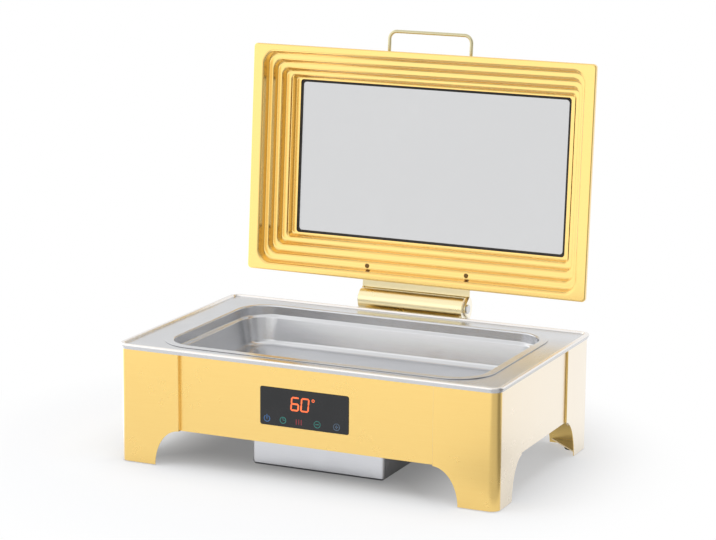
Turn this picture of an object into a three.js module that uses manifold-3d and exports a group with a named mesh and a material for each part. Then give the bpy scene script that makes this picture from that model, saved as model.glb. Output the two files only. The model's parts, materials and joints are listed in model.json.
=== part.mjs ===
// Electric chafing dish with a damped window lid, shown open. Millimetres, +Z up, front towards -Y.
import * as THREE from "three";
import { mergeVertices } from "three/addons/utils/BufferGeometryUtils.js";
import Module from "manifold-3d";

const wasm = await Module();
wasm.setup();

// Clearances and overruns that every piece shares
const seat = 0.3; // gap between a piece and the one it rests on
const holeClearance = 0.3; // added to the radius of a shank for its hole
const overrun = 6; // how far a cut runs past the face it opens

// Food pan: the standard full size tray, 530 by 325, that hangs in the water pan
const foodPan = { length: 530, width: 325, flange: 14, corner: 62, sheet: 1, depth: 62 };
const foodPanWall = { shoulderDepth: 16, shoulderStep: 3.5, draft: 8, bend: 3, floorBend: 10 };

// Water pan: its rim is the steel edge all round the top of the dish, outside the food pan by a margin
const rim = { endMargin: 42, frontMargin: 28.5, height: 182, corner: 17, sheet: 1 };
const rimEdge = { skirt: 8, lip: 6, drop: 3, slope: 1.5, bend: 1.2 };
const waterPan = { lap: 9, depthShare: 0.536, corner: 50, draft: 6, floorBend: 12, mouthBend: 3 };

// Body: four corner legs that stand proud of four panels
const body = { overhang: 3, sheet: 1.2, proud: 6, edgeBend: 1.5, tuck: 18, floorGap: 1.5 };
const leg = { frontWidth: 100, sideWidth: 95, frontFoot: 60, sideFoot: 58 };
const arch = { frontShare: 0.3132, sideShare: 0.341, frontSweep: 40, sideSweep: 40, panelDrop: 20 };
const panelReturn = { top: 12, bottom: 12, bend: 2 };
const footPlate = { lift: 6, thickness: 2, inset: 2 };
const footPad = { radius: 12, topRadius: 10.5, edge: 1.2, wallGap: 4 };

// Heater: a steel box slung under the body on two rails, with a cast plate against the water pan
const heaterBox = { length: 214, panelGap: 44, floor: 7.5, sheet: 1.2, flange: 14, corner: 4, bend: 2.5 };
const heaterPlate = { thickness: 8.9, overlap: 8, corner: 10 };
const rail = { sheet: 1.5, topFlange: 15, bottomFlange: 16, boxGap: 2, bend: 2 };
const vent = { length: 44, width: 4, pitch: 12, rows: 6, rowSpacing: 64 };
const insulation = { thickness: 19, edgeGap: 0.8 };
const element = { radius: 3.3, outerHalf: 70, innerHalf: 25, reach: 100, tail: 110, bend: 20 };
const cutout = { radius: 9, height: 6, collar: 12, collarHeight: 1.2 };
const probe = { radius: 3, length: 30, fromCentre: 60 };
const terminal = { length: 30, depth: 12, height: 14, drop: 6, groove: 2.4, ways: 3 };

// Control panel on the front
const display = { width: 142, height: 57, heightShare: 0.458, thickness: 3, proud: 0.5, corner: 3 };
const housing = { margin: 15, top: 9, bottom: 9, depth: 22, wall: 2, windowMargin: 9, corner: 5 };
const board = { thickness: 1.6, margin: 6, standOff: 8, bossRadius: 3, bossInset: 6 };
const digits = { width: 40, height: 26, rise: 3 };
const relay = { length: 22, height: 16, depth: 9, fromCentre: 30 };
const cover = { thickness: 1.5, vents: 5, ventWidth: 3, ventHeight: 40, ventPitch: 14 };

// Power inlet on the back: a flanged socket with three blades and no cord
const inlet = { overRail: 30.5, flangeWidth: 50, flangeHeight: 24, flange: 3, flangeCorner: 6 };
const inletBody = { width: 27, height: 19, depth: 24, corner: 5, wall: 1.5, recess: 18 };
const blade = { width: 2, height: 4, length: 15, tail: 8, spacing: 7, earthRise: 2, mouthGap: 5 };
const inletScrew = { radius: 1.7, fromCentre: 20 };

// Cables held inside the body
const mainsCable = { radius: 3.5, bend: 12, belowCentre: 14, wallGap: 10 };
const heaterCable = { radius: 3.2, bend: 8, drop: 11, fromCentre: 60 };
const grommet = { radius: 5.5, flangeRadius: 7.5, flange: 1.5, length: 5 };

// Lid, described as it lies closed on the rim
const lid = { endGap: 18, frontGap: 9, sheet: 1, hem: 7, bend: 2.2, openAngle: 94 };
const lidCorner = { flange: 6, recess: 20, window: 5, flatRun: 4 };
const lidStep = {
  flange: 12,
  lean: 2,
  first: 18,
  ledge: 12,
  rise: 14,
  lastLedge: 9,
  lastRise: 13,
  frame: 4.5,
};
const gasket = { thickness: 2, showing: 4, outside: 7 };
const glass = { thickness: 4, outside: 7, corner: 11 };
const retainer = { sheet: 1.2, cover: 9, gap: 1.8, bend: 1.5 };

// Lid handle: a bent wire loop on the front wall of the lid
const handle = { radius: 2.8, width: 139, reach: 32, bend: 10, depth: 39 };
const ferrule = { radius: 4.6, length: 7, chamfer: 0.8 };

// Hinge: a fixed barrel behind the rim, with a leaf on the lid that wraps over it
const hinge = { width: 184, behindRim: 22.5, aboveRim: 9, barrel: 17.5, bore: 12, pin: 5 };
const leaf = { sheet: 2.5, runningGap: 0.8, cheek: 3, boss: 10, backAngle: 30, rootBend: 3, edgeGap: 2.5 };
const hingePlate = { thickness: 3, width: 160, topDrop: 24, bottomDrop: 77, bend: 5, reachShare: 0.85 };
const hingeRib = { fromCentre: 50, thickness: 3, drop: 70 };
const hingeStop = { sweep: 35, gapAngle: 1.4 };
const bush = { length: 12 };
const damper = { length: 110, collar: 6, waist: 1.5 };
const pinHead = { radius: 7.5, length: 2, chamfer: 0.6 };
const hingeScrew = { radius: 2.5, head: 4.8, headHeight: 2.6, length: 10, fromCentre: 66, drops: [66, 36] };
const lidBolt = { radius: 2.5, head: 4.6, headHeight: 3, fromCentre: 85, tip: 4 };
const hexNut = { radius: 4.8, height: 3.5 };

// Facets
const bendSteps = 2;
const cornerSteps = 4;
const archSteps = 8;
const roundSides = 16;
const smallSides = 10;
const barrelSides = 24;
const wireSides = 8;

const degrees = Math.PI / 180;
const at = (x, y) => new THREE.Vector2(x, y);

// Heights and places worked out from the sizes above
const rimLength = foodPan.length + rim.endMargin * 2;
const rimWidth = foodPan.width + rim.frontMargin * 2;
const lidLength = rimLength - lid.endGap * 2;
const lidWidth = rimWidth - lid.frontGap * 2;
const ledgeHeight = rim.height - rimEdge.drop;
const bodyTop = ledgeHeight - rim.sheet - seat;
const bodyHalfX = rimLength / 2 - body.overhang;
const bodyHalfY = rimWidth / 2 - body.overhang;
const panelHalfX = bodyHalfX - body.proud;
const panelHalfY = bodyHalfY - body.proud;
const seamX = bodyHalfX - leg.frontWidth;
const seamY = bodyHalfY - leg.sideWidth;
const waterFloor = ledgeHeight * (1 - waterPan.depthShare);
const plateTop = waterFloor - rim.sheet - seat;
const boxTop = plateTop - heaterPlate.thickness - seat;
const boxHalfX = heaterBox.length / 2;
const boxHalfY = panelHalfY - heaterBox.panelGap;
const frontArchHeight = rim.height * arch.frontShare;
const sideArchHeight = rim.height * arch.sideShare;
const panelFloor = frontArchHeight + body.sheet;
const railFloor = panelFloor + seat;
const railTop = boxTop - heaterBox.sheet - seat - rail.sheet;
const railWebX = boxHalfX + rail.boxGap + rail.topFlange;
const displayFace = -panelHalfY - display.proud;
const displayBack = displayFace + display.thickness;
const innerFace = panelHalfY - body.sheet;
const housingFront = -innerFace + seat;
const housingBack = housingFront + housing.depth;
const housingHalfX = display.width / 2 + housing.margin;
const displayCentre = THREE.MathUtils.lerp(panelFloor, bodyTop, display.heightShare);
const housingLow = displayCentre - display.height / 2 - housing.bottom;
const housingHigh = displayCentre + display.height / 2 + housing.top;
const inletHeight = railTop + inlet.overRail;
const mainsHeight = displayCentre - mainsCable.belowCentre;
const hingePlateTop = rim.height - hingePlate.topDrop;
const hingePlateBottom = rim.height - hingePlate.bottomDrop;
const lidRest = ledgeHeight + seat;
const pivot = at(rimWidth / 2 + hinge.behindRim, rim.height + hinge.aboveRim);
const pivotInLid = at(pivot.x, pivot.y - lidRest);

// Closed three.js geometry as a solid for cutting and joining, with its faces turned outwards
function solidOf(geometry) {
  const plain = geometry.index ? geometry.toNonIndexed() : geometry.clone();
  plain.deleteAttribute("normal");
  plain.deleteAttribute("uv");
  const merged = mergeVertices(plain);
  const faces = new Uint32Array(merged.index.array);
  const build = () =>
    new wasm.Manifold(
      new wasm.Mesh({ numProp: 3, vertProperties: merged.attributes.position.array, triVerts: faces }),
    );
  const solid = build();
  if (solid.volume() > 0) return solid;
  faces.reverse();
  return build();
}

function geometryOf(solid) {
  const { vertProperties, triVerts } = solid.getMesh();
  const geometry = new THREE.BufferGeometry();
  geometry.setAttribute("position", new THREE.BufferAttribute(vertProperties, 3));
  geometry.setIndex(new THREE.BufferAttribute(triVerts, 1));
  geometry.computeVertexNormals();
  return geometry;
}

// A path with an arc of the given radius at each corner; one radius for all, or one for each point
function bent(points, radius, closed = false, steps = bendSteps) {
  const count = points.length;
  return points.flatMap((corner, i) => {
    const size = Array.isArray(radius) ? radius[i] : radius;
    const isEnd = !closed && (i === 0 || i === count - 1);
    if (isEnd || size === 0) return [corner];
    const before = corner.clone().sub(points[(i + count - 1) % count]).normalize();
    const after = points[(i + 1) % count].clone().sub(corner).normalize();
    const turn = Math.atan2(before.cross(after), before.dot(after));
    const run = size * Math.tan(Math.abs(turn) / 2);
    const start = corner.clone().addScaledVector(before, -run);
    const centre = start.clone().addScaledVector(at(-before.y, before.x), size * Math.sign(turn));
    const spots = Array.from({ length: steps + 1 }, (_, k) => k / steps);
    return spots.map((share) => start.clone().rotateAround(centre, turn * share));
  });
}

// The same open path moved to its left, with mitred corners
function movedLeft(points, distance) {
  const heading = (from, to) => to.clone().sub(from).normalize();
  return points.map((point, i) => {
    const after = i < points.length - 1 ? heading(point, points[i + 1]) : heading(points[i - 1], point);
    const before = i > 0 ? heading(points[i - 1], point) : after;
    const shift = at(-before.y - after.y, before.x + after.x);
    return point.clone().addScaledVector(shift, distance / (1 + before.dot(after)));
  });
}

// Outline of a folded sheet whose one face is the path and whose thickness lies to the left of it
function sheetOutline(points, thickness) {
  return new THREE.Shape([...points, ...movedLeft(points, thickness).reverse()]);
}

function rectangle(halfWidth, halfHeight, corner, middle = at(0, 0)) {
  const corners = [
    at(-halfWidth, -halfHeight),
    at(halfWidth, -halfHeight),
    at(halfWidth, halfHeight),
    at(-halfWidth, halfHeight),
  ];
  return new THREE.Shape(bent(corners, corner, true, cornerSteps).map((point) => point.add(middle)));
}

// Outlines are drawn in YZ, XZ or XY and run along the axis that is left over
const axes = {
  x: new THREE.Vector3(1, 0, 0),
  y: new THREE.Vector3(0, 1, 0),
  z: new THREE.Vector3(0, 0, 1),
};
const drawnIn = {
  x: new THREE.Matrix4().makeBasis(axes.y, axes.z, axes.x),
  y: new THREE.Matrix4().makeBasis(axes.x, axes.z, axes.y.clone().negate()),
  z: new THREE.Matrix4(),
};

function extruded(shape, axis, from, to) {
  const geometry = new THREE.ExtrudeGeometry(shape, {
    depth: to - from,
    bevelEnabled: false,
    curveSegments: archSteps,
  });
  const start = axes[axis].clone().multiplyScalar(axis === "y" ? to : from);
  geometry.applyMatrix4(drawnIn[axis]).translate(...start.toArray());
  return solidOf(geometry);
}

function block([x0, x1], [y0, y1], [z0, z1]) {
  const geometry = new THREE.BoxGeometry(x1 - x0, y1 - y0, z1 - z0);
  geometry.translate((x0 + x1) / 2, (y0 + y1) / 2, (z0 + z1) / 2);
  return solidOf(geometry);
}

// A profile of radius and height turned about an axis through a centre
function turned(profile, axis, centre, sides = smallSides) {
  const geometry = new THREE.LatheGeometry(profile, sides);
  const upright = new THREE.Quaternion().setFromUnitVectors(axes.y, axes[axis]);
  geometry.applyQuaternion(upright).translate(...centre);
  return solidOf(geometry);
}

function rod(radius, axis, from, to, centre, sides = smallSides) {
  return turned([at(0, from), at(radius, from), at(radius, to), at(0, to)], axis, centre, sides);
}

// A head or nut: a short rod whose outer edge is chamfered at its far end
function capped(radius, from, to, chamfer, axis, centre, sides = smallSides) {
  const slope = to - Math.sign(to - from) * chamfer;
  const profile = [at(0, from), at(radius, from), at(radius, slope), at(radius - chamfer, to), at(0, to)];
  return turned(profile, axis, centre, sides);
}

// A surface through rings of equal point counts, closed by its end caps or by meeting its own start
function lofted(rings, looped) {
  const around = rings[0].length;
  const faces = [];
  const bands = looped ? rings.length : rings.length - 1;
  for (let band = 0; band < bands; band += 1) {
    for (let i = 0; i < around; i += 1) {
      const next = (i + 1) % around;
      const low = band * around;
      const high = ((band + 1) % rings.length) * around;
      faces.push(low + i, low + next, high + next, low + i, high + next, high + i);
    }
  }
  const last = (rings.length - 1) * around;
  for (let i = 1; !looped && i < around - 1; i += 1) {
    faces.push(0, i + 1, i, last, last + i, last + i + 1);
  }
  const geometry = new THREE.BufferGeometry().setFromPoints(rings.flat());
  geometry.setIndex(faces);
  return solidOf(geometry);
}

// A round cornered rectangle lifted to a height, as one ring of a loft
function ring(halfX, halfY, corner, height) {
  const outline = rectangle(halfX, halfY, corner).getPoints();
  return outline.map((point) => new THREE.Vector3(point.x, point.y, height));
}

// A wire along straight runs joined by quarter bends
function wire(points, radius, bend, steps) {
  const path = new THREE.CurvePath();
  let from = points[0];
  points.slice(1, -1).forEach((corner, i) => {
    const entry = corner.clone().add(points[i].clone().sub(corner).setLength(bend));
    const exit = corner.clone().add(points[i + 2].clone().sub(corner).setLength(bend));
    path.add(new THREE.LineCurve3(from, entry));
    path.add(new THREE.QuadraticBezierCurve3(entry, corner, exit));
    from = exit;
  });
  path.add(new THREE.LineCurve3(from, points.at(-1)));
  const section = new THREE.Shape(
    Array.from({ length: wireSides }, (_, i) => {
      const angle = (2 * Math.PI * i) / wireSides;
      return at(radius * Math.cos(angle), radius * Math.sin(angle));
    }),
  );
  return solidOf(new THREE.ExtrudeGeometry(section, { steps, extrudePath: path, bevelEnabled: false }));
}

const finishes = {
  gold: { color: 0xe6bd68, metalness: 1, roughness: 0.28 },
  steel: { color: 0xc9cbcd, metalness: 1, roughness: 0.3 },
  darkSteel: { color: 0x8d8a84, metalness: 1, roughness: 0.4 },
  aluminium: { color: 0xb4b6b8, metalness: 1, roughness: 0.5 },
  brass: { color: 0xc8a24c, metalness: 1, roughness: 0.35 },
  blackRubber: { color: 0x141414, metalness: 0, roughness: 0.7 },
  blackPlastic: { color: 0x1c1c1e, metalness: 0, roughness: 0.5 },
  nylon: { color: 0xe8e4da, metalness: 0, roughness: 0.55 },
  ceramic: { color: 0xe9e6df, metalness: 0, roughness: 0.8 },
  circuit: { color: 0x1f5a3a, metalness: 0, roughness: 0.5 },
  cable: { color: 0x2a2a2c, metalness: 0, roughness: 0.6 },
  darkGlass: { color: 0x12161d, metalness: 0, roughness: 0.08 },
  clearGlass: { color: 0xdadcdc, metalness: 0, roughness: 0.03, transparent: true, opacity: 0.35 },
};

function addTo(group, name, finish, solid) {
  const mesh = new THREE.Mesh(geometryOf(solid), new THREE.MeshStandardMaterial(finishes[finish]));
  mesh.name = name;
  group.add(mesh);
}

const dish = new THREE.Group();

// The arched gap between two legs, seen square on: each side sweeps up as a quarter of an ellipse
function archOutline(floorHalf, sweep, height) {
  const shape = new THREE.Shape();
  const topHalf = floorHalf - sweep;
  shape.moveTo(-floorHalf, -overrun);
  shape.lineTo(-floorHalf, 0);
  shape.absellipse(-topHalf, 0, sweep, height, Math.PI, Math.PI / 2, true);
  shape.lineTo(topHalf, height);
  shape.absellipse(topHalf, 0, sweep, height, Math.PI / 2, 0, true);
  shape.lineTo(floorHalf, -overrun);
  return shape;
}

const reachX = bodyHalfX + overrun;
const reachY = bodyHalfY + overrun;
const frontOutline = archOutline(bodyHalfX - leg.frontFoot, arch.frontSweep, frontArchHeight);
const sideOutline = archOutline(bodyHalfY - leg.sideFoot, arch.sideSweep, sideArchHeight);
const arches = extruded(frontOutline, "y", -reachY, reachY).add(extruded(sideOutline, "x", -reachX, reachX));

// Corner leg: one sheet folded round the corner, with its two upright edges turned in onto the panels
function cornerLeg(sideX, sideY) {
  const place = (x, y) => at(sideX * x, sideY * y);
  const corner = rim.corner - body.overhang;
  const path = bent(
    [
      place(seamX, panelHalfY + seat),
      place(seamX, bodyHalfY),
      place(bodyHalfX, bodyHalfY),
      place(bodyHalfX, seamY),
      place(panelHalfX + seat, seamY),
    ],
    [0, body.edgeBend, corner, body.edgeBend, 0],
    false,
    cornerSteps,
  );
  const inward = -sideX * sideY;
  const fold = sheetOutline(path, inward * body.sheet);
  const skin = extruded(fold, "z", body.floorGap, bodyTop).subtract(arches);
  const middle = body.sheet / 2;
  const plate = new THREE.Shape(
    bent(
      [
        place(bodyHalfX - leg.frontFoot + footPlate.inset, bodyHalfY - middle),
        place(bodyHalfX - middle, bodyHalfY - middle),
        place(bodyHalfX - middle, bodyHalfY - leg.sideFoot + footPlate.inset),
      ],
      [0, corner - middle, 0],
      false,
      cornerSteps,
    ),
  );
  return skin.add(extruded(plate, "z", footPlate.lift, footPlate.lift + footPlate.thickness));
}

// Rubber pad under the plate inside a leg; it carries the weight and keeps the leg off the table
function padUnderLeg(sideX, sideY) {
  const inset = body.overhang + body.sheet + footPad.wallGap + footPad.radius;
  const top = footPlate.lift - seat;
  const profile = [
    at(0, 0),
    at(footPad.radius - footPad.edge, 0),
    at(footPad.radius, footPad.edge),
    at(footPad.topRadius, top),
    at(0, top),
  ];
  const centre = [sideX * (rimLength / 2 - inset), sideY * (rimWidth / 2 - inset), 0];
  return turned(profile, "z", centre, roundSides);
}

const corners = [
  ["front_left", -1, -1],
  ["front_right", 1, -1],
  ["rear_left", -1, 1],
  ["rear_right", 1, 1],
];
for (const [place, sideX, sideY] of corners) {
  addTo(dish, `leg_${place}`, "gold", cornerLeg(sideX, sideY));
  addTo(dish, `foot_pad_${place}`, "blackRubber", padUnderLeg(sideX, sideY));
}

// Panel between two legs: a skin with a return at the top that carries the rim, and one at the bottom
function panel(axis, side, face, halfLength, bottomHalf, archHeight) {
  const across = (distance, height) => at(side * distance, height);
  const path = bent(
    [
      across(face, archHeight - arch.panelDrop),
      across(face, bodyTop),
      across(face - panelReturn.top, bodyTop),
    ],
    panelReturn.bend,
  );
  const skin = extruded(sheetOutline(path, side * body.sheet), axis, -halfLength, halfLength);
  const foldPath = bent(
    [
      across(face, archHeight + panelReturn.bottom),
      across(face, archHeight),
      across(face - panelReturn.bottom, archHeight),
    ],
    panelReturn.bend,
  );
  const fold = extruded(sheetOutline(foldPath, -side * body.sheet), axis, -bottomHalf, bottomHalf);
  return skin.subtract(arches).add(fold);
}

const frontPanel = panel("x", -1, panelHalfY, seamX + body.tuck, seamX, frontArchHeight);
const rearPanel = panel("x", 1, panelHalfY, seamX + body.tuck, seamX, frontArchHeight);
for (const [place, side] of [["left", -1], ["right", 1]]) {
  const skin = panel("y", side, panelHalfX, seamY + body.tuck, seamY, sideArchHeight);
  addTo(dish, `side_panel_${place}`, "gold", skin);
}

const displayMiddle = at(0, displayCentre);
function displayOutline(clearance) {
  const halfWidth = display.width / 2 + clearance;
  const halfHeight = display.height / 2 + clearance;
  return rectangle(halfWidth, halfHeight, display.corner + clearance, displayMiddle);
}
const displayCut = extruded(displayOutline(seat), "y", displayFace - overrun, displayBack + seat);
addTo(dish, "front_panel", "gold", frontPanel.subtract(displayCut));
addTo(dish, "display_glass", "darkGlass", extruded(displayOutline(0), "y", displayFace, displayBack));

// Housing behind the display: a tray open to the back, with a pocket for the glass and four board bosses
const housingOutline = (inset) => {
  const halfHeight = (housingHigh - housingLow) / 2 - inset;
  const middle = at(0, (housingHigh + housingLow) / 2);
  return rectangle(housingHalfX - inset, halfHeight, housing.corner - inset, middle);
};
const boardFace = housingFront + housing.wall + board.standOff;
const boardHalfX = housingHalfX - board.margin;
const boardLow = housingLow + board.margin;
const boardHigh = housingHigh - board.margin;
const bossPlaces = [-1, 1].flatMap((side) =>
  [boardLow + board.bossInset, boardHigh - board.bossInset].map((height) => [
    side * (boardHalfX - board.bossInset),
    height,
  ]),
);
const windowHalfX = display.width / 2 - housing.windowMargin;
const windowHalfZ = display.height / 2 - housing.windowMargin;
let tray = extruded(housingOutline(0), "y", housingFront, housingBack)
  .subtract(extruded(housingOutline(housing.wall), "y", housingFront + housing.wall, housingBack + overrun))
  .subtract(displayCut)
  .subtract(
    block(
      [-windowHalfX, windowHalfX],
      [housingFront - overrun, housingFront + housing.wall + overrun],
      [displayCentre - windowHalfZ, displayCentre + windowHalfZ],
    ),
  );
for (const [x, z] of bossPlaces) {
  tray = tray.add(rod(board.bossRadius, "y", housingFront + housing.wall / 2, boardFace - seat, [x, 0, z]));
}
addTo(dish, "control_housing", "blackPlastic", tray);

const boardBack = boardFace + board.thickness;
const circuit = block([-boardHalfX, boardHalfX], [boardFace, boardBack], [boardLow, boardHigh]).add(
  block(
    [-digits.width / 2, digits.width / 2],
    [boardFace - board.standOff + digits.rise, boardBack - board.thickness / 2],
    [displayCentre - digits.height / 2, displayCentre + digits.height / 2],
  ),
);
addTo(dish, "control_board", "circuit", circuit);
const relayBlock = block(
  [relay.fromCentre - relay.length / 2, relay.fromCentre + relay.length / 2],
  [boardBack + seat, boardBack + seat + relay.depth],
  [displayCentre - relay.height / 2, displayCentre + relay.height / 2],
);
addTo(dish, "power_relay", "blackPlastic", relayBlock);

// Back cover of the housing, with a row of upright air slots
let backCover = extruded(
  housingOutline(0),
  "y",
  housingBack + seat,
  housingBack + seat + cover.thickness,
);
for (let i = 0; i < cover.vents; i += 1) {
  const x = (i - (cover.vents - 1) / 2) * cover.ventPitch;
  const slot = rectangle(cover.ventWidth / 2, cover.ventHeight / 2, 0, at(x, displayCentre));
  backCover = backCover.subtract(extruded(slot, "y", housingBack - overrun, housingBack + overrun));
}
addTo(dish, "control_cover", "blackPlastic", backCover);

// Water pan: rim skirt, raised lip, ledge and deep well, drawn as inset from the rim against height
const mouthInset = rim.endMargin + waterPan.lap;
const mouthShift = rim.endMargin - rim.frontMargin;
const lipEnd = rimEdge.lip + rimEdge.slope;
const waterPath = bent(
  [
    at(0, rim.height - rimEdge.skirt),
    at(0, rim.height),
    at(rimEdge.lip, rim.height),
    at(lipEnd, ledgeHeight),
    at(mouthInset, ledgeHeight),
    at(mouthInset + waterPan.draft, waterFloor),
    at(mouthInset + waterPan.draft + waterPan.floorBend * 2, waterFloor),
  ],
  [0, rimEdge.bend, 0, 0, waterPan.mouthBend, waterPan.floorBend, 0],
);
function waterRing(point) {
  const inWell = point.x > (lipEnd + mouthInset) / 2;
  const insetY = point.x - (inWell ? mouthShift : 0);
  const corner = inWell ? waterPan.corner + mouthInset - point.x : rim.corner - point.x;
  return ring(rimLength / 2 - point.x, rimWidth / 2 - insetY, corner, point.y);
}
// A pressed pan from the path of its upper face; the metal lies under it
function pressed(path, thickness, ringOf, looped) {
  const under = movedLeft(path, thickness).reverse();
  return lofted([...path, ...under].map(ringOf), looped);
}
// The upper face runs from the middle of the floor out to the edge, and the under face runs back
const fromFloor = (path) => [...path].reverse();
addTo(dish, "water_pan", "steel", pressed(fromFloor(waterPath), rim.sheet, waterRing, false));

// Food pan: flat flange, stacking shoulder, drafted wall and rounded floor
const panTop = ledgeHeight + seat + foodPan.sheet;
const shoulder = foodPan.flange + foodPanWall.shoulderStep;
const foodPath = bent(
  [
    at(0, panTop),
    at(foodPan.flange, panTop),
    at(foodPan.flange, panTop - foodPanWall.shoulderDepth),
    at(shoulder, panTop - foodPanWall.shoulderDepth - foodPanWall.shoulderStep),
    at(shoulder + foodPanWall.draft, panTop - foodPan.depth),
    at(shoulder + foodPanWall.draft + foodPanWall.floorBend * 2, panTop - foodPan.depth),
  ],
  [0, foodPanWall.bend, foodPanWall.bend, foodPanWall.bend, foodPanWall.floorBend, 0],
);
const foodRing = (point) =>
  ring(foodPan.length / 2 - point.x, foodPan.width / 2 - point.x, foodPan.corner - point.x, point.y);
addTo(dish, "food_pan", "steel", pressed(fromFloor(foodPath), foodPan.sheet, foodRing, false));

// Heater rails: Z sections that lie on the returns of the front and rear panels and carry the box
for (const [place, side] of [["left", -1], ["right", 1]]) {
  const path = bent(
    [
      at(side * (railWebX - rail.topFlange), railTop),
      at(side * railWebX, railTop),
      at(side * railWebX, railFloor),
      at(side * (railWebX + rail.bottomFlange), railFloor),
    ],
    rail.bend,
  );
  const half = innerFace - panelReturn.bend;
  const section = sheetOutline(path, side * rail.sheet);
  addTo(dish, `heater_rail_${place}`, "darkSteel", extruded(section, "y", -half, half));
}

// Heater box: an open steel tray hung by its flange, with air slots in its floor
const boxPath = bent(
  [
    at(-heaterBox.flange, boxTop),
    at(0, boxTop),
    at(0, heaterBox.floor + heaterBox.sheet),
    at(heaterBox.bend * 2, heaterBox.floor + heaterBox.sheet),
  ],
  [0, heaterBox.bend, heaterBox.bend, 0],
  false,
  1,
);
const boxRing = (point) => {
  const corner = Math.max(heaterBox.corner - point.x, heaterBox.sheet);
  return ring(boxHalfX - heaterBox.sheet - point.x, boxHalfY - heaterBox.sheet - point.x, corner, point.y);
};
let box = pressed(fromFloor(boxPath), heaterBox.sheet, boxRing, false);
for (const row of [-1, 1]) {
  for (let i = 0; i < vent.rows; i += 1) {
    const y = (i - (vent.rows - 1) / 2) * vent.pitch;
    const middle = at((row * vent.rowSpacing) / 2, y);
    const slot = rectangle(vent.length / 2, vent.width / 2, 0, middle);
    box = box.subtract(extruded(slot, "z", heaterBox.floor - overrun, heaterBox.floor + overrun));
  }
}
const cableX = heaterCable.fromCentre;
const cableY = -innerFace + mainsCable.wallGap + mainsCable.radius;
const cableZ = boxTop - heaterCable.drop;
box = box.subtract(
  rod(grommet.radius + holeClearance, "y", -boxHalfY - overrun, -boxHalfY + overrun, [cableX, 0, cableZ]),
);
addTo(dish, "heater_box", "steel", box);

const padHalfX = boxHalfX - heaterBox.sheet - insulation.edgeGap;
const padHalfY = boxHalfY - heaterBox.sheet - insulation.edgeGap;
const padFloor = heaterBox.floor + heaterBox.sheet + seat;
const pad = extruded(
  rectangle(padHalfX, padHalfY, heaterBox.corner),
  "z",
  padFloor + heaterBox.bend,
  padFloor + heaterBox.bend + insulation.thickness,
);
const padFoot = block(
  [-padHalfX + heaterBox.bend, padHalfX - heaterBox.bend],
  [-padHalfY + heaterBox.bend, padHalfY - heaterBox.bend],
  [padFloor, padFloor + heaterBox.bend + insulation.thickness / 2],
);
addTo(dish, "insulation_board", "ceramic", pad.add(padFoot));

// Cast heating plate, which rests on the flange of the box and touches the water pan
const plateBottom = boxTop + seat;
const castPlate = extruded(
  rectangle(boxHalfX + heaterPlate.overlap, boxHalfY + heaterPlate.overlap, heaterPlate.corner),
  "z",
  plateBottom,
  plateTop,
);
addTo(dish, "heating_plate", "aluminium", castPlate);

const elementZ = plateBottom - seat - element.radius;
const elementRoute = [
  [-element.outerHalf, -element.tail],
  [-element.outerHalf, element.reach],
  [-element.innerHalf, element.reach],
  [-element.innerHalf, -element.reach],
  [element.innerHalf, -element.reach],
  [element.innerHalf, element.reach],
  [element.outerHalf, element.reach],
  [element.outerHalf, -element.tail],
].map(([x, y]) => new THREE.Vector3(x, y, elementZ));
addTo(dish, "heating_element", "darkSteel", wire(elementRoute, element.radius, element.bend, 32));

const cutoutTop = plateBottom - seat;
const cutoutBody = rod(cutout.radius, "z", cutoutTop - cutout.height, cutoutTop, [0, 0, 0], roundSides);
const collarLow = cutoutTop - cutout.collarHeight;
const cutoutCollar = rod(cutout.collar, "z", collarLow, cutoutTop, [0, 0, 0], roundSides);
addTo(dish, "thermal_cutout", "ceramic", cutoutBody.add(cutoutCollar));
const probeCentre = [0, probe.fromCentre, cutoutTop - probe.radius];
addTo(
  dish,
  "temperature_probe",
  "steel",
  rod(probe.radius, "x", -probe.length / 2, probe.length / 2, probeCentre),
);

// Terminal block on the inside of the front wall of the box, with a groove between each pair of ways
const terminalFront = -boxHalfY + heaterBox.sheet + seat;
const terminalTop = cutoutTop - terminal.drop - element.radius * 2;
const terminalEnds = [-cableX - terminal.length / 2, -cableX + terminal.length / 2];
let terminalBlock = block(
  terminalEnds,
  [terminalFront, terminalFront + terminal.depth],
  [terminalTop - terminal.height, terminalTop],
);
for (let i = 1; i < terminal.ways; i += 1) {
  const x = terminalEnds[0] + (terminal.length * i) / terminal.ways;
  const groove = block(
    [x - terminal.groove / 2, x + terminal.groove / 2],
    [terminalFront + terminal.depth / 2, terminalFront + terminal.depth + overrun],
    [terminalTop - terminal.height - overrun, terminalTop + overrun],
  );
  terminalBlock = terminalBlock.subtract(groove);
}
addTo(dish, "terminal_block", "ceramic", terminalBlock);

// Grommet in the front wall of the box, and the cable from the housing that ends in it
const grommetOuter = -boxHalfY - seat - grommet.flange;
const grommetCentre = [cableX, 0, cableZ];
const grommetSleeve = rod(grommet.radius, "y", grommetOuter, grommetOuter + grommet.length, grommetCentre)
  .add(rod(grommet.flangeRadius, "y", grommetOuter, grommetOuter + grommet.flange, grommetCentre))
  .subtract(
    rod(heaterCable.radius / 2, "y", grommetOuter - overrun, grommetOuter + overrun * 2, grommetCentre),
  );
addTo(dish, "cable_grommet", "blackRubber", grommetSleeve);
const heaterCableRoute = [
  new THREE.Vector3(cableX, cableY, housingLow - seat),
  new THREE.Vector3(cableX, cableY, cableZ),
  new THREE.Vector3(cableX, grommetOuter - seat, cableZ),
];
addTo(dish, "heater_cable", "cable", wire(heaterCableRoute, heaterCable.radius, heaterCable.bend, 8));

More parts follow.
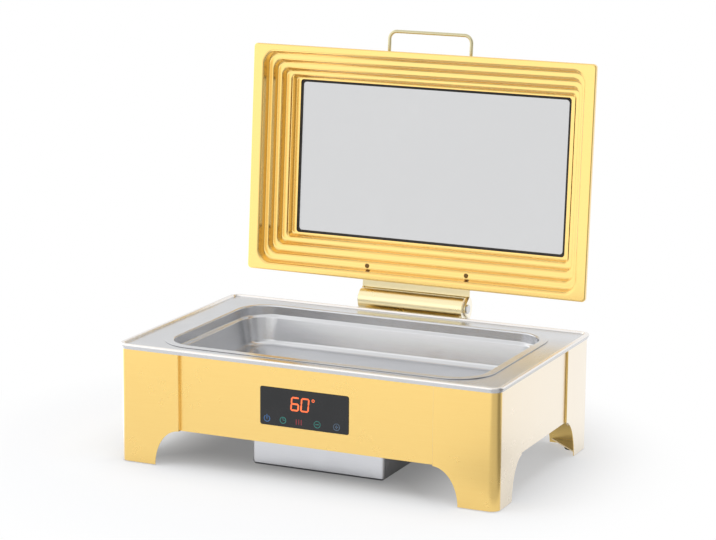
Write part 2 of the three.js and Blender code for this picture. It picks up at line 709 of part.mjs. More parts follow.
// Power inlet on the rear panel, over the left rail that carries its cable to the front
const inletX = -(railWebX + rail.bottomFlange / 2);
const inletMiddle = at(inletX, inletHeight);
const inletFace = panelHalfY + seat + inlet.flange;
const inletBack = inletFace - inlet.flange - inletBody.depth;
function inletOutline(inset) {
  const halfWidth = inletBody.width / 2 - inset;
  const halfHeight = inletBody.height / 2 - inset;
  const cut = inletBody.corner;
  const points = [
    at(-halfWidth, -halfHeight),
    at(halfWidth, -halfHeight),
    at(halfWidth, halfHeight - cut),
    at(halfWidth - cut, halfHeight),
    at(cut - halfWidth, halfHeight),
    at(-halfWidth, halfHeight - cut),
  ];
  return new THREE.Shape(points.map((point) => point.add(inletMiddle)));
}
const bladePlaces = {
  live: [-blade.spacing, 0],
  neutral: [blade.spacing, 0],
  earth: [0, blade.earthRise],
};
const bladeTip = inletFace - blade.mouthGap;
function bladeSolid([x, z], clearance, from, to) {
  const middle = [inletX + x, inletHeight + z];
  return block(
    [middle[0] - blade.width / 2 - clearance, middle[0] + blade.width / 2 + clearance],
    [from, to],
    [middle[1] - blade.height / 2 - clearance, middle[1] + blade.height / 2 + clearance],
  );
}
let socket = extruded(
  rectangle(inlet.flangeWidth / 2, inlet.flangeHeight / 2, inlet.flangeCorner, inletMiddle),
  "y",
  inletFace - inlet.flange,
  inletFace,
).add(extruded(inletOutline(0), "y", inletBack, inletFace - inlet.flange / 2));
socket = socket.subtract(
  extruded(inletOutline(inletBody.wall), "y", inletFace - inletBody.recess, inletFace + overrun),
);
for (const place of Object.values(bladePlaces)) {
  const slotEnd = inletFace - inletBody.recess + seat;
  socket = socket.subtract(bladeSolid(place, seat, inletBack - overrun, slotEnd));
}
for (const side of [-1, 1]) {
  const centre = [inletX + side * inletScrew.fromCentre, 0, inletHeight];
  socket = socket.subtract(
    rod(inletScrew.radius, "y", inletFace - inlet.flange - overrun, inletFace + overrun, centre),
  );
}
addTo(dish, "power_inlet", "blackPlastic", socket);
for (const [name, place] of Object.entries(bladePlaces)) {
  const start = bladeTip - blade.length - blade.tail;
  addTo(dish, `inlet_blade_${name}`, "brass", bladeSolid(place, 0, start, bladeTip));
}

const cableFloor = railFloor + rail.sheet + seat + mainsCable.radius;
const inletDrop = (inletBack + panelHalfY) / 2;
const mainsRoute = [
  [inletX, inletDrop, inletHeight - inletBody.height / 2 - seat],
  [inletX, inletDrop, cableFloor],
  [inletX, cableY, cableFloor],
  [inletX, cableY, mainsHeight],
  [-housingHalfX - seat, cableY, mainsHeight],
].map((point) => new THREE.Vector3(...point));
addTo(dish, "mains_cable", "cable", wire(mainsRoute, mainsCable.radius, mainsCable.bend, 30));

// Hinge base: a folded plate on the rear panel that carries a tube behind the rim
const barrelHalf = hinge.width / 2 - leaf.cheek - seat;
const plateHalf = hingePlate.width / 2;
const plateFace = panelHalfY + seat;
const pivotPlace = [0, pivot.x, pivot.y];
const towardsTube = at(plateFace, hingePlateTop).lerp(pivot, hingePlate.reachShare);
towardsTube.y = Math.min(towardsTube.y, pivot.y - hinge.bore);
const platePath = bent(
  [towardsTube, at(plateFace, hingePlateTop), at(plateFace, hingePlateBottom)],
  hingePlate.bend,
);
let hingeBase = extruded(sheetOutline(platePath, hingePlate.thickness), "x", -plateHalf, plateHalf);
for (const side of [-1, 1]) {
  const rib = new THREE.Shape([
    at(plateFace + hingePlate.thickness / 2, rim.height - hingeRib.drop),
    at(pivot.x, pivot.y - hinge.barrel + hingePlate.thickness / 2),
    at(plateFace + hingePlate.thickness / 2, hingePlateTop),
  ]);
  const x = side * hingeRib.fromCentre;
  hingeBase = hingeBase.add(extruded(rib, "x", x - hingeRib.thickness / 2, x + hingeRib.thickness / 2));
}
hingeBase = hingeBase.add(rod(hinge.barrel, "x", -barrelHalf, barrelHalf, pivotPlace, barrelSides));

// The stop on the tube that the back edge of the leaf meets when the lid is fully open
const leafInner = hinge.barrel + leaf.runningGap;
const leafOuter = leafInner + leaf.sheet;
const stopAngle = leaf.backAngle - lid.openAngle - hingeStop.gapAngle;
const onCircle = (radius, angle, centre) =>
  at(centre.x + radius * Math.cos(angle * degrees), centre.y + radius * Math.sin(angle * degrees));
const stopMiddle = stopAngle - hingeStop.sweep / 2;
const stopOutline = new THREE.Shape([
  onCircle(hinge.bore, stopAngle, pivot),
  onCircle(leafOuter, stopAngle, pivot),
  onCircle(leafOuter, stopMiddle, pivot),
  onCircle(leafOuter, stopAngle - hingeStop.sweep, pivot),
  onCircle(hinge.bore, stopAngle - hingeStop.sweep, pivot),
]);
hingeBase = hingeBase
  .add(extruded(stopOutline, "x", -plateHalf, plateHalf))
  .subtract(rod(hinge.bore, "x", -barrelHalf - overrun, barrelHalf + overrun, pivotPlace, barrelSides));

const screwPlaces = [-1, 1].flatMap((side) =>
  hingeScrew.drops.map((drop) => [side * hingeScrew.fromCentre, 0, rim.height - drop]),
);
const screwSeat = plateFace + hingePlate.thickness + seat;
let rearSkin = rearPanel.subtract(
  extruded(inletOutline(-seat), "y", innerFace - overrun, panelHalfY + overrun),
);
screwPlaces.forEach((place, i) => {
  const tip = screwSeat - hingeScrew.length;
  const headTop = screwSeat + hingeScrew.headHeight;
  const screw = rod(hingeScrew.radius, "y", tip, screwSeat + hingeScrew.headHeight / 2, place).add(
    capped(hingeScrew.head, screwSeat, headTop, hingeScrew.headHeight / 2, "y", place, roundSides),
  );
  const hole = rod(hingeScrew.radius + holeClearance, "y", tip - overrun, screwSeat + overrun, place);
  hingeBase = hingeBase.subtract(hole);
  rearSkin = rearSkin.subtract(hole);
  addTo(dish, `hinge_screw_${i + 1}`, "steel", screw);
});
addTo(dish, "rear_panel", "gold", rearSkin);
addTo(dish, "hinge_base", "gold", hingeBase);

// Bushes in the ends of the tube, with the damper sleeve between them
const sleeveRadius = hinge.bore - seat;
const pinBore = hinge.pin + holeClearance;
const sleeve = (from, to) =>
  rod(sleeveRadius, "x", from, to, pivotPlace, roundSides).subtract(
    rod(pinBore, "x", from - overrun, to + overrun, pivotPlace, roundSides),
  );
addTo(dish, "hinge_bush_left", "nylon", sleeve(-barrelHalf, -barrelHalf + bush.length));
addTo(dish, "hinge_bush_right", "nylon", sleeve(barrelHalf - bush.length, barrelHalf));
const waistHalf = damper.length / 2 - damper.collar;
const waistProfile = [
  at(sleeveRadius - damper.waist, -waistHalf),
  at(sleeveRadius + overrun, -waistHalf),
  at(sleeveRadius + overrun, waistHalf),
  at(sleeveRadius - damper.waist, waistHalf),
  at(sleeveRadius - damper.waist, -waistHalf),
];
const damperBody = sleeve(-damper.length / 2, damper.length / 2).subtract(
  turned(waistProfile, "x", pivotPlace, roundSides),
);
addTo(dish, "hinge_damper", "darkSteel", damperBody);

// Lid: everything below is placed as if closed, in a frame at the middle of the flange, and then
// turned about the hinge. Height there is depth behind the flange when the lid stands open.
const lidTurn = new THREE.Group();
lidTurn.position.set(0, pivot.x, pivot.y);
lidTurn.rotation.x = -lid.openAngle * degrees;
dish.add(lidTurn);
const lidPieces = new THREE.Group();
lidPieces.position.set(0, -pivot.x, lidRest - pivot.y);
lidTurn.add(lidPieces);

// Stepped pressed shell, drawn as inset from the flange edge against depth
const stepDepths = {
  first: lidStep.first,
  second: lidStep.first + lidStep.rise,
  third: lidStep.first + lidStep.rise * 2,
  frame: lidStep.first + lidStep.rise * 2 + lidStep.lastRise,
};
const wallStarts = {
  first: lidStep.flange,
  second: lidStep.flange + lidStep.lean + lidStep.ledge,
  third: lidStep.flange + (lidStep.lean + lidStep.ledge) * 2,
  fourth: lidStep.flange + (lidStep.lean + lidStep.ledge) * 2 + lidStep.lean + lidStep.lastLedge,
};
const windowInset = wallStarts.fourth + lidStep.lean + lidStep.frame;
const shellPath = bent(
  [
    at(0, lid.hem),
    at(0, 0),
    at(wallStarts.first, 0),
    at(wallStarts.first + lidStep.lean, stepDepths.first),
    at(wallStarts.second, stepDepths.first),
    at(wallStarts.second + lidStep.lean, stepDepths.second),
    at(wallStarts.third, stepDepths.second),
    at(wallStarts.third + lidStep.lean, stepDepths.third),
    at(wallStarts.fourth, stepDepths.third),
    at(wallStarts.fourth + lidStep.lean, stepDepths.frame),
    at(windowInset, stepDepths.frame),
  ],
  lid.bend,
);
// Corner radius at an inset: small on the flange edge, large where the recess starts, small at the window
function lidCornerAt(inset) {
  const { flange, recess, window: pane, flatRun } = lidCorner;
  const onFlange = THREE.MathUtils.smoothstep(inset, flatRun, lidStep.flange - lid.bend);
  const inRecess = THREE.MathUtils.clamp((inset - lidStep.flange) / (windowInset - lidStep.flange), 0, 1);
  return inset < lidStep.flange
    ? THREE.MathUtils.lerp(flange, recess, onFlange)
    : THREE.MathUtils.lerp(recess, pane, inRecess);
}
const lidRing = (point) =>
  ring(lidLength / 2 - point.x, lidWidth / 2 - point.x, lidCornerAt(point.x), point.y);
let shell = pressed(shellPath, lid.sheet, lidRing, true);

// Window: a flat seal on the outside of the shell, the glass on it, and a frame that clamps both
const sealFloor = stepDepths.frame + lid.sheet + seat;
const glassFloor = sealFloor + gasket.thickness + seat;
const glassTop = glassFloor + glass.thickness;
const insetOutline = (inset, corner) => rectangle(lidLength / 2 - inset, lidWidth / 2 - inset, corner);
function windowFrame(outerInset, outerCorner, innerInset, innerCorner, from, to) {
  const outline = insetOutline(outerInset, outerCorner);
  outline.holes.push(new THREE.Path(insetOutline(innerInset, innerCorner).getPoints()));
  return extruded(outline, "z", from, to);
}
const glassInset = windowInset - glass.outside;
const sealShape = windowFrame(
  windowInset - gasket.outside,
  glass.corner,
  windowInset + gasket.showing,
  lidCorner.window,
  sealFloor,
  sealFloor + gasket.thickness,
);
addTo(lidPieces, "window_gasket", "blackRubber", sealShape);
const pane = extruded(insetOutline(glassInset, glass.corner), "z", glassFloor, glassTop);
addTo(lidPieces, "window_glass", "clearGlass", pane);

const clampFoot = stepDepths.third + lid.sheet + seat;
const clampOuter = glassInset - retainer.gap - retainer.sheet;
const clampPath = bent(
  [
    at(clampOuter, clampFoot),
    at(clampOuter, glassTop + seat + retainer.sheet),
    at(clampOuter + retainer.cover, glassTop + seat + retainer.sheet),
  ],
  retainer.bend,
);
addTo(lidPieces, "window_frame", "gold", pressed(clampPath, -retainer.sheet, lidRing, true));

// Handle: a wire loop whose two ends are welded, in a ferrule each, to the third wall of the lid
const handleX = handle.width / 2;
const wallLean = (lidStep.lean * (handle.depth - stepDepths.second)) / lidStep.rise;
const wallOuter = wallStarts.third + wallLean - lid.sheet - lidWidth / 2;
const handleFoot = wallOuter - (lidStep.lean / lidStep.rise) * ferrule.radius - seat;
const handleBar = -lidWidth / 2 - handle.reach + handle.radius;
const handleRoute = [
  [-handleX, handleFoot],
  [-handleX, handleBar],
  [handleX, handleBar],
  [handleX, handleFoot],
].map(([x, y]) => new THREE.Vector3(x, y, handle.depth));
addTo(lidPieces, "lid_handle", "gold", wire(handleRoute, handle.radius, handle.bend, 40));
for (const [place, side] of [["left", -1], ["right", 1]]) {
  const centre = [side * handleX, 0, handle.depth];
  const tip = handleFoot - ferrule.length;
  const bore = rod(handle.radius + holeClearance, "y", tip - overrun, handleFoot + overrun, centre);
  const collar = capped(ferrule.radius, handleFoot, tip, ferrule.chamfer, "y", centre, roundSides);
  addTo(lidPieces, `handle_ferrule_${place}`, "gold", collar.subtract(bore));
}

// Hinge leaf: from the outside of the first ledge it rises over the tube and wraps down behind it
const tabFloor = stepDepths.first + lid.sheet + seat;
const tabFront = lidWidth / 2 - wallStarts.second + lid.sheet + leaf.edgeGap;
const meetAngle = 180 - Math.asin((tabFloor - pivotInLid.y) / leafInner) / degrees;
const wrapSteps = 10;
const wrap = Array.from({ length: wrapSteps + 1 }, (_, i) => {
  const angle = THREE.MathUtils.lerp(meetAngle, leaf.backAngle, i / wrapSteps);
  return onCircle(leafInner, angle, pivotInLid);
});
const leafPath = bent(
  [at(tabFront, tabFloor), ...wrap],
  [0, leaf.rootBend, ...wrap.slice(1).map(() => 0)],
);
const hingeHalf = hinge.width / 2;
const pivotInLidPlace = [0, pivotInLid.x, pivotInLid.y];
let leafPlate = extruded(sheetOutline(leafPath, leaf.sheet), "x", -hingeHalf, hingeHalf);
// Cheek at each end: a fan under the wrapped arc that narrows to a boss round the pin
const fan = (radius, from, to) =>
  Array.from({ length: wrapSteps + 1 }, (_, i) =>
    onCircle(radius, THREE.MathUtils.lerp(from, to, i / wrapSteps), pivotInLid),
  );
const cheekOutline = new THREE.Shape([
  ...fan(leafOuter, leaf.backAngle, meetAngle),
  ...fan(leaf.boss, meetAngle + 90, 360 + leaf.backAngle - 90),
]);
for (const side of [-1, 1]) {
  const ends = [side * hingeHalf, side * (hingeHalf - leaf.cheek)].sort((a, b) => a - b);
  leafPlate = leafPlate.add(extruded(cheekOutline, "x", ...ends));
}
leafPlate = leafPlate.subtract(
  rod(pinBore, "x", -hingeHalf - overrun, hingeHalf + overrun, pivotInLidPlace, roundSides),
);

// Hinge pin with a domed head outside each cheek
const pinHalf = hingeHalf + seat + pinHead.length;
const pinEnd = (side) => [
  at(pinHead.radius - pinHead.chamfer, side * pinHalf),
  at(pinHead.radius, side * (pinHalf - pinHead.chamfer)),
  at(pinHead.radius, side * (pinHalf - pinHead.length)),
  at(hinge.pin, side * (pinHalf - pinHead.length)),
];
const pinProfile = [at(0, -pinHalf), ...pinEnd(-1), ...pinEnd(1).reverse(), at(0, pinHalf)];
addTo(lidPieces, "hinge_pin", "steel", turned(pinProfile, "x", pivotInLidPlace, roundSides));

// Two bolts hold the leaf to the first ledge, heads inside the lid and nuts outside
const boltY = lidWidth / 2 - (wallStarts.first + lidStep.lean + wallStarts.second) / 2;
const tabTop = tabFloor + leaf.sheet;
for (const [place, side] of [["left", -1], ["right", 1]]) {
  const centre = [side * lidBolt.fromCentre, boltY, 0];
  const headTop = stepDepths.first - seat;
  const boltTip = tabTop + seat + hexNut.height + lidBolt.tip;
  const hole = rod(lidBolt.radius + holeClearance, "z", headTop - overrun, boltTip + overrun, centre);
  shell = shell.subtract(hole);
  leafPlate = leafPlate.subtract(hole);
  const headLow = headTop - lidBolt.headHeight;
  const head = capped(lidBolt.head, headTop, headLow, lidBolt.headHeight / 2, "z", centre, roundSides);
  const shank = rod(lidBolt.radius, "z", headTop - lidBolt.headHeight / 2, boltTip, centre);
  addTo(lidPieces, `lid_bolt_${place}`, "darkSteel", head.add(shank));
  const nut = rod(hexNut.radius, "z", tabTop + seat, tabTop + seat + hexNut.height, centre, 6);
  addTo(lidPieces, `lid_nut_${place}`, "steel", nut.subtract(hole));
}
addTo(lidPieces, "lid_bracket", "gold", leafPlate);
addTo(lidPieces, "lid_shell", "gold", shell);

// The origin is on the table under the middle of the open dish, so the whole is centred front to back
const reach = new THREE.Box3().setFromObject(dish);
dish.position.y = -(reach.min.y + reach.max.y) / 2;

export default dish;
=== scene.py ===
import json
import math

import bmesh
import bpy
import numpy as np
from mathutils import Matrix, Vector


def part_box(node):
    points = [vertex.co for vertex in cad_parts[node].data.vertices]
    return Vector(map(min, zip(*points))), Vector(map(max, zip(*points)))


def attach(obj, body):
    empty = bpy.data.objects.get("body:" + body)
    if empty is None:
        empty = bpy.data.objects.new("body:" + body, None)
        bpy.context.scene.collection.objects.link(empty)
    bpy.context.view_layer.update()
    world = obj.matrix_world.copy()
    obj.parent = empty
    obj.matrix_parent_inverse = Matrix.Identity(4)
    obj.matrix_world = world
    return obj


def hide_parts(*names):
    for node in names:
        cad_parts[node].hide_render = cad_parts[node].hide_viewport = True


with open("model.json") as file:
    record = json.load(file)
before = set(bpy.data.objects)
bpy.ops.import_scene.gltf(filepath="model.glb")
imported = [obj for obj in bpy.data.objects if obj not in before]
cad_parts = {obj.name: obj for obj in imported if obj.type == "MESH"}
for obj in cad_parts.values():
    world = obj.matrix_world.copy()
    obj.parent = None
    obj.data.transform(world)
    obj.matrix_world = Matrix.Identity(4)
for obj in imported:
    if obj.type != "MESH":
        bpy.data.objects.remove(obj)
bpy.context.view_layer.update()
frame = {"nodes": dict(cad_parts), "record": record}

# Electric chafing dish with a damped window lid. Shapes are worked out in millimetres about the
# middle of the dish, front towards -y, and go into the meshes in metres.
nodes = frame["nodes"]
panLow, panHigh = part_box("water_pan")
middleY = (panLow.y + panHigh.y) / 2
mm = 0.001

# Sizes that several pieces share
body = {"halfX": 304, "halfY": 188, "panelX": 298, "panelY": 182, "sideOut": 3, "top": 177.7,
        "sheet": 1.2}
rim = {"halfX": 307, "halfY": 191, "corner": 17, "top": 182, "ledge": 179, "sheet": 1}
seam = {"x": 204, "y": 93}
pin = {"y": 213.5, "z": 191, "openAngle": 94}
lid = {"halfX": 289, "halfY": 182, "rest": 179.3, "sheet": 1, "cornerSteps": 14}
seat = 0.3


def unit(vector):
    return vector / np.linalg.norm(vector)


def placeBody(points):  # millimetres about the dish to metres in the frame
    return np.asarray(points, float) * mm + np.array([0, middleY, 0])


def placeLid(points):  # x, y and depth of the closed lid, turned open about the hinge pin
    points = np.asarray(points, float)
    across = points[..., 1] - pin["y"]
    over = points[..., 2] + lid["rest"] - pin["z"]
    turn = -math.radians(pin["openAngle"])
    y = pin["y"] + across * math.cos(turn) - over * math.sin(turn)
    z = pin["z"] + across * math.sin(turn) + over * math.cos(turn)
    return placeBody(np.stack([points[..., 0], y, z], -1))


def bentPath(corners, radii, steps=6):
    # corners joined by straight runs; at each one an arc of its radius touches both runs:
    # start + into * r sin(a) + square * r (1 - cos(a)), with a from 0 to the turn
    corners = np.asarray(corners, float)
    radii = np.broadcast_to(radii, len(corners))
    runs = [corners[:1]]
    for before, corner, after, radius in zip(corners, corners[1:], corners[2:], radii[1:]):
        into = unit(corner - before)
        out = unit(after - corner)
        square = out - into * (into @ out)
        turn = math.atan2(np.linalg.norm(square), into @ out)
        if radius == 0 or turn < 1e-6:
            runs.append(corner[None])
            continue
        start = corner - into * radius * math.tan(turn / 2)
        a = np.linspace(0, turn, steps + 1)[:, None]
        runs.append(start + into * radius * np.sin(a) + unit(square) * radius * (1 - np.cos(a)))
    runs.append(corners[-1:])
    return np.concatenate(runs)


def besidePath(path, distance):  # a flat path moved to its left, each corner on its mitre
    step = np.diff(path, axis=0)
    step /= np.linalg.norm(step, axis=1)[:, None]
    before = np.vstack([step[:1], step])
    after = np.vstack([step, step[-1:]])
    shift = np.stack([-before[:, 1] - after[:, 1], before[:, 0] + after[:, 0]], 1)
    return path + shift * (distance / (1 + (before * after).sum(1)))[:, None]


def sheetLoop(path, thickness):  # out along a path and back along its other side
    return np.vstack([path, besidePath(path, thickness)[::-1]])


def cornerAngles(steps):  # four quarter circles, one after the other
    quarter = np.linspace(0, math.pi / 2, steps + 1)
    return np.concatenate([quarter + k * math.pi / 2 for k in range(4)])


def roundedRings(halfX, halfY, corner, height, steps):
    # each row is a rectangle with quarter circle corners: corner centre + radius * (cos, sin)
    halfX, halfY, corner, height = np.broadcast_arrays(halfX, halfY, corner, height)
    angle = cornerAngles(steps)
    signX = np.repeat([1, -1, -1, 1], steps + 1)
    signY = np.repeat([1, 1, -1, -1], steps + 1)
    x = signX * (halfX - corner)[:, None] + corner[:, None] * np.cos(angle)
    y = signY * (halfY - corner)[:, None] + corner[:, None] * np.sin(angle)
    z = np.broadcast_to(height[:, None].astype(float), x.shape)
    return np.stack([x, y, z], -1)


def gridFaces(rows, columns, loopRows, loopColumns=True):  # a quad between each four neighbours
    r = np.arange(rows if loopRows else rows - 1)[:, None]
    c = np.arange(columns if loopColumns else columns - 1)[None, :]
    low, high = r * columns, ((r + 1) % rows) * columns
    near, far = c, (c + 1) % columns
    quads = np.stack(np.broadcast_arrays(low + near, low + far, high + far, high + near), -1)
    return quads.reshape(-1, 4).tolist()


def gridShell(grid, loopRows=False):
    # a shell is points and faces: rings joined in turn, with closed ends unless they meet
    rows, columns = grid.shape[:2]
    faces = gridFaces(rows, columns, loopRows)
    if not loopRows:
        last = (rows - 1) * columns
        faces += [list(range(columns)), list(range(last, last + columns))]
    return grid.reshape(-1, 3), faces


def pressedShell(path, thickness, ringOf, looped=False):
    # sheet metal whose one face follows the path of inset and height, carried round by ringOf
    inset, height = sheetLoop(path, thickness).T
    return gridShell(ringOf(inset, height), looped)


def turnedShell(profile, axis, centre, sides, looped=False):
    # radius and height above the centre, turned about an axis; a third number of 1 makes that row
    # six sided: radius * cos(30) / cos(angle within its sixth - 30)
    profile = np.array([(*row, 0)[:3] for row in profile], float)
    angle = np.linspace(0, 2 * math.pi, sides, endpoint=False)
    sixth = math.pi / 3
    flats = math.cos(sixth / 2) / np.cos(angle % sixth - sixth / 2)
    radius = profile[:, :1] * (1 + profile[:, 2:] * (flats - 1))
    along = np.broadcast_to(profile[:, 1:2], radius.shape)
    across, over = radius * np.cos(angle), radius * np.sin(angle)
    order = {"y": (across, along, over), "z": (across, over, along)}
    grid = np.stack(order[axis], -1) + np.asarray(centre, float)
    return gridShell(grid, looped)


def wireShell(corners, radius, bend, steps, sides):
    # circles carried along a bent path: path + radius * (cos * side + sin * over)
    path = bentPath(corners, bend, steps)
    along = np.gradient(path, axis=0)
    along /= np.linalg.norm(along, axis=1)[:, None]
    side = np.cross(along, (0.0, 0.0, 1.0))
    side /= np.linalg.norm(side, axis=1)[:, None]
    over = np.cross(side, along)
    angle = np.linspace(0, 2 * math.pi, sides, endpoint=False)[None, :, None]
    circle = np.cos(angle) * side[:, None] + np.sin(angle) * over[:, None]
    return gridShell(path[:, None] + radius * circle)


def slabShell(halfX, halfY, corner, low, high, edge, steps):
    # plate with round corners; its upper and lower edges follow a quarter circle
    a = np.linspace(0, math.pi / 2, 5)
    inset = np.concatenate([edge * (1 - np.sin(a)), edge * (1 - np.cos(a))])
    height = np.concatenate([low + edge * (1 - np.cos(a)), high - edge * (1 - np.sin(a))])
    return gridShell(roundedRings(halfX - inset, halfY - inset, corner - inset, height, steps))


def prismShell(outline, low, high):  # a flat outline raised from one height to another
    outline = np.asarray(outline, float)
    grid = [np.column_stack([outline, np.full(len(outline), height)]) for height in (low, high)]
    return gridShell(np.stack(grid))


def standingShell(shell, y, z=0.0):
    # drawn flat, then stood upright facing the front: x, height and depth
    points, faces = shell
    return np.stack([points[:, 0], y - points[:, 2], points[:, 1] + z], 1), faces


print("finishes")

bumpDepth = 0.0002  # metres
sheenFacing = (0.46, 0.74)  # how far metal is turned from the eye where its painted sheen starts and ends
# colour of the painted highlight along the rim's rolled lip
lipHighlightTone = (0.90, 0.865, 0.83)


def newGroup(name, inputs, outputs):
    group = bpy.data.node_groups.new(name, "ShaderNodeTree")
    for label, kind, value in inputs:
        socket = group.interface.new_socket(name=label, in_out="INPUT", socket_type=kind)
        if value is not None:
            socket.default_value = value
    for label, kind in outputs:
        group.interface.new_socket(name=label, in_out="OUTPUT", socket_type=kind)
    return group, group.nodes.new("NodeGroupInput"), group.nodes.new("NodeGroupOutput")


def addNode(tree, kind, settings=None, **values):  # a node, its settings and its sockets' inputs
    node = tree.nodes.new(kind)
    for key, value in (settings or {}).items():
        setattr(node, key, value)
    for key, value in values.items():
        setSocket(tree, node.inputs[key.replace("_", " ")], value)
    return node


def setSocket(tree, socket, value):
    if isinstance(value, bpy.types.NodeSocket):
        tree.links.new(value, socket)
    else:
        socket.default_value = value


def mathNode(tree, operation, first, second=0.0):
    node = addNode(tree, "ShaderNodeMath", {"operation": operation})
    setSocket(tree, node.inputs[0], first)
    setSocket(tree, node.inputs[1], second)
    return node.outputs[0]


def vectorNode(tree, operation, first, second):
    node = addNode(tree, "ShaderNodeVectorMath", {"operation": operation})
    setSocket(tree, node.inputs[0], first)
    setSocket(tree, node.inputs[1], second)
    return node


def rangeNode(tree, value, low, high, toLow=0.0, toHigh=1.0):
    node = addNode(tree, "ShaderNodeMapRange", {"interpolation_type": "SMOOTHSTEP"}, Value=value,
                   From_Min=low, From_Max=high, To_Min=toLow, To_Max=toHigh)
    return node.outputs["Result"]


def mixColour(tree, factor, first, second):  # each colour is a socket or three numbers
    node = addNode(tree, "ShaderNodeMix", {"data_type": "RGBA"})
    setSocket(tree, node.inputs[0], factor)
    for index, colour in ((6, first), (7, second)):
        linked = isinstance(colour, bpy.types.NodeSocket)
        setSocket(tree, node.inputs[index], colour if linked else (*colour, 1))
    return node.outputs[2]


def brushedLines():  # long thin lines along the sheet: noise squeezed across the height
    group, start, end = newGroup(
        "brushedLines",
        [("Coordinates", "NodeSocketVector", None), ("Across", "NodeSocketFloat", 2600.0),
         ("Along", "NodeSocketFloat", 18.0)],
        [("Lines", "NodeSocketFloat")],
    )
    stretch = addNode(group, "ShaderNodeCombineXYZ", X=start.outputs["Along"],
                      Y=start.outputs["Along"], Z=start.outputs["Across"])
    scaled = vectorNode(group, "MULTIPLY", start.outputs["Coordinates"], stretch.outputs[0])
    noise = addNode(group, "ShaderNodeTexNoise", Vector=scaled.outputs[0], Scale=1.0, Detail=2.0)
    group.links.new(rangeNode(group, noise.outputs[0], 0.3, 0.7), end.inputs["Lines"])
    return group


def handlingMarks():  # soft cloudy patches with finer wipes in them, as polished metal has
    group, start, end = newGroup(
        "handlingMarks",
        [("Coordinates", "NodeSocketVector", None), ("Scale", "NodeSocketFloat", 9.0)],
        [("Marks", "NodeSocketFloat")],
    )
    place, scale = start.outputs["Coordinates"], start.outputs["Scale"]
    broad = addNode(group, "ShaderNodeTexNoise", Vector=place, Scale=scale, Detail=3.0,
                    Distortion=0.6)
    wipes = addNode(group, "ShaderNodeTexNoise", Vector=place,
                    Scale=mathNode(group, "MULTIPLY", scale, 7.0), Detail=4.0, Roughness=0.6)
    both = mathNode(group, "MULTIPLY", rangeNode(group, broad.outputs[0], 0.35, 0.7),
                    rangeNode(group, wipes.outputs[0], 0.3, 0.75))
    group.links.new(both, end.inputs["Marks"])
    return group


def mouldedSkin():  # fine pebbled height of a moulded, cast or pressed surface
    group, start, end = newGroup(
        "mouldedSkin",
        [("Coordinates", "NodeSocketVector", None), ("Scale", "NodeSocketFloat", 900.0)],
        [("Skin", "NodeSocketFloat"), ("Tone", "NodeSocketFloat")],
    )
    place, scale = start.outputs["Coordinates"], start.outputs["Scale"]
    cells = addNode(group, "ShaderNodeTexVoronoi", {"feature": "SMOOTH_F1"}, Vector=place,
                    Scale=scale)
    grain = addNode(group, "ShaderNodeTexNoise", Vector=place, Scale=scale, Detail=3.0)
    group.links.new(mathNode(group, "ADD", cells.outputs[0], grain.outputs[0]), end.inputs["Skin"])
    broad = addNode(group, "ShaderNodeTexNoise", Vector=place,
                    Scale=mathNode(group, "MULTIPLY", scale, 0.02), Detail=4.0)
    group.links.new(rangeNode(group, broad.outputs[0], 0.3, 0.7), end.inputs["Tone"])
    return group


groups = {"lines": brushedLines(), "marks": handlingMarks(), "skin": mouldedSkin()}


def placeGroup(tree, which, coordinates, **values):
    return addNode(tree, "ShaderNodeGroup", {"node_tree": groups[which]}, Coordinates=coordinates,
                   **values)


def emptyTree(owner):  # the cleared node tree of a material or a world
    owner.use_nodes = True
    owner.node_tree.nodes.clear()
    return owner.node_tree


def newMaterial(name):
    material = bpy.data.materials.new(name)
    tree = emptyTree(material)
    shader = tree.nodes.new("ShaderNodeBsdfPrincipled")
    addNode(tree, "ShaderNodeOutputMaterial", Surface=shader.outputs[0])
    return material, tree, shader, tree.nodes.new("ShaderNodeTexCoord").outputs["Object"]


def wipedRoughness(tree, shader, coordinates, scale, clean, wiped):
    marks = placeGroup(tree, "marks", coordinates, Scale=scale).outputs["Marks"]
    setSocket(tree, shader.inputs["Roughness"], rangeNode(tree, marks, 0.0, 1.0, clean, wiped))
    return marks


def bumpNode(tree, shader, height, strength):
    bump = addNode(tree, "ShaderNodeBump", Strength=strength, Distance=bumpDepth, Height=height)
    tree.links.new(bump.outputs[0], shader.inputs["Normal"])


def metalFinish(name, light, deep, rough, edge=None, sheenGain=1.0, bump=0.005, lipHighlight=None):
    # satin sheet metal: the tone wanders a little, wiped patches are smoother, a painted sheen
    # pales it where it is seen edge on, and between two heights a painted highlight turns it into a
    # bright lip
    material, tree, shader, coordinates = newMaterial(name)
    brushed = placeGroup(tree, "lines", coordinates).outputs["Lines"]
    tone = mixColour(tree, mathNode(tree, "MULTIPLY", brushed, 0.5), light, deep)
    # edge is the colour of a painted sheen: the base colour is paled towards it where the metal is
    # seen edge on, in place of the bright light it would reflect there
    if edge:
        facing = addNode(tree, "ShaderNodeLayerWeight", Blend=0.5).outputs["Facing"]
        tone = mixColour(tree, rangeNode(tree, facing, *sheenFacing, 0.0, sheenGain), tone, edge)
    if lipHighlight:
        height = addNode(tree, "ShaderNodeSeparateXYZ", Vector=coordinates).outputs["Z"]
        tone = mixColour(tree, rangeNode(tree, height, *lipHighlight), tone, lipHighlightTone)
    setSocket(tree, shader.inputs["Base Color"], tone)
    shader.inputs["Metallic"].default_value = 1
    wipedRoughness(tree, shader, coordinates, scale=9.0, clean=rough[1], wiped=rough[0])
    bumpNode(tree, shader, brushed, bump)
    return material


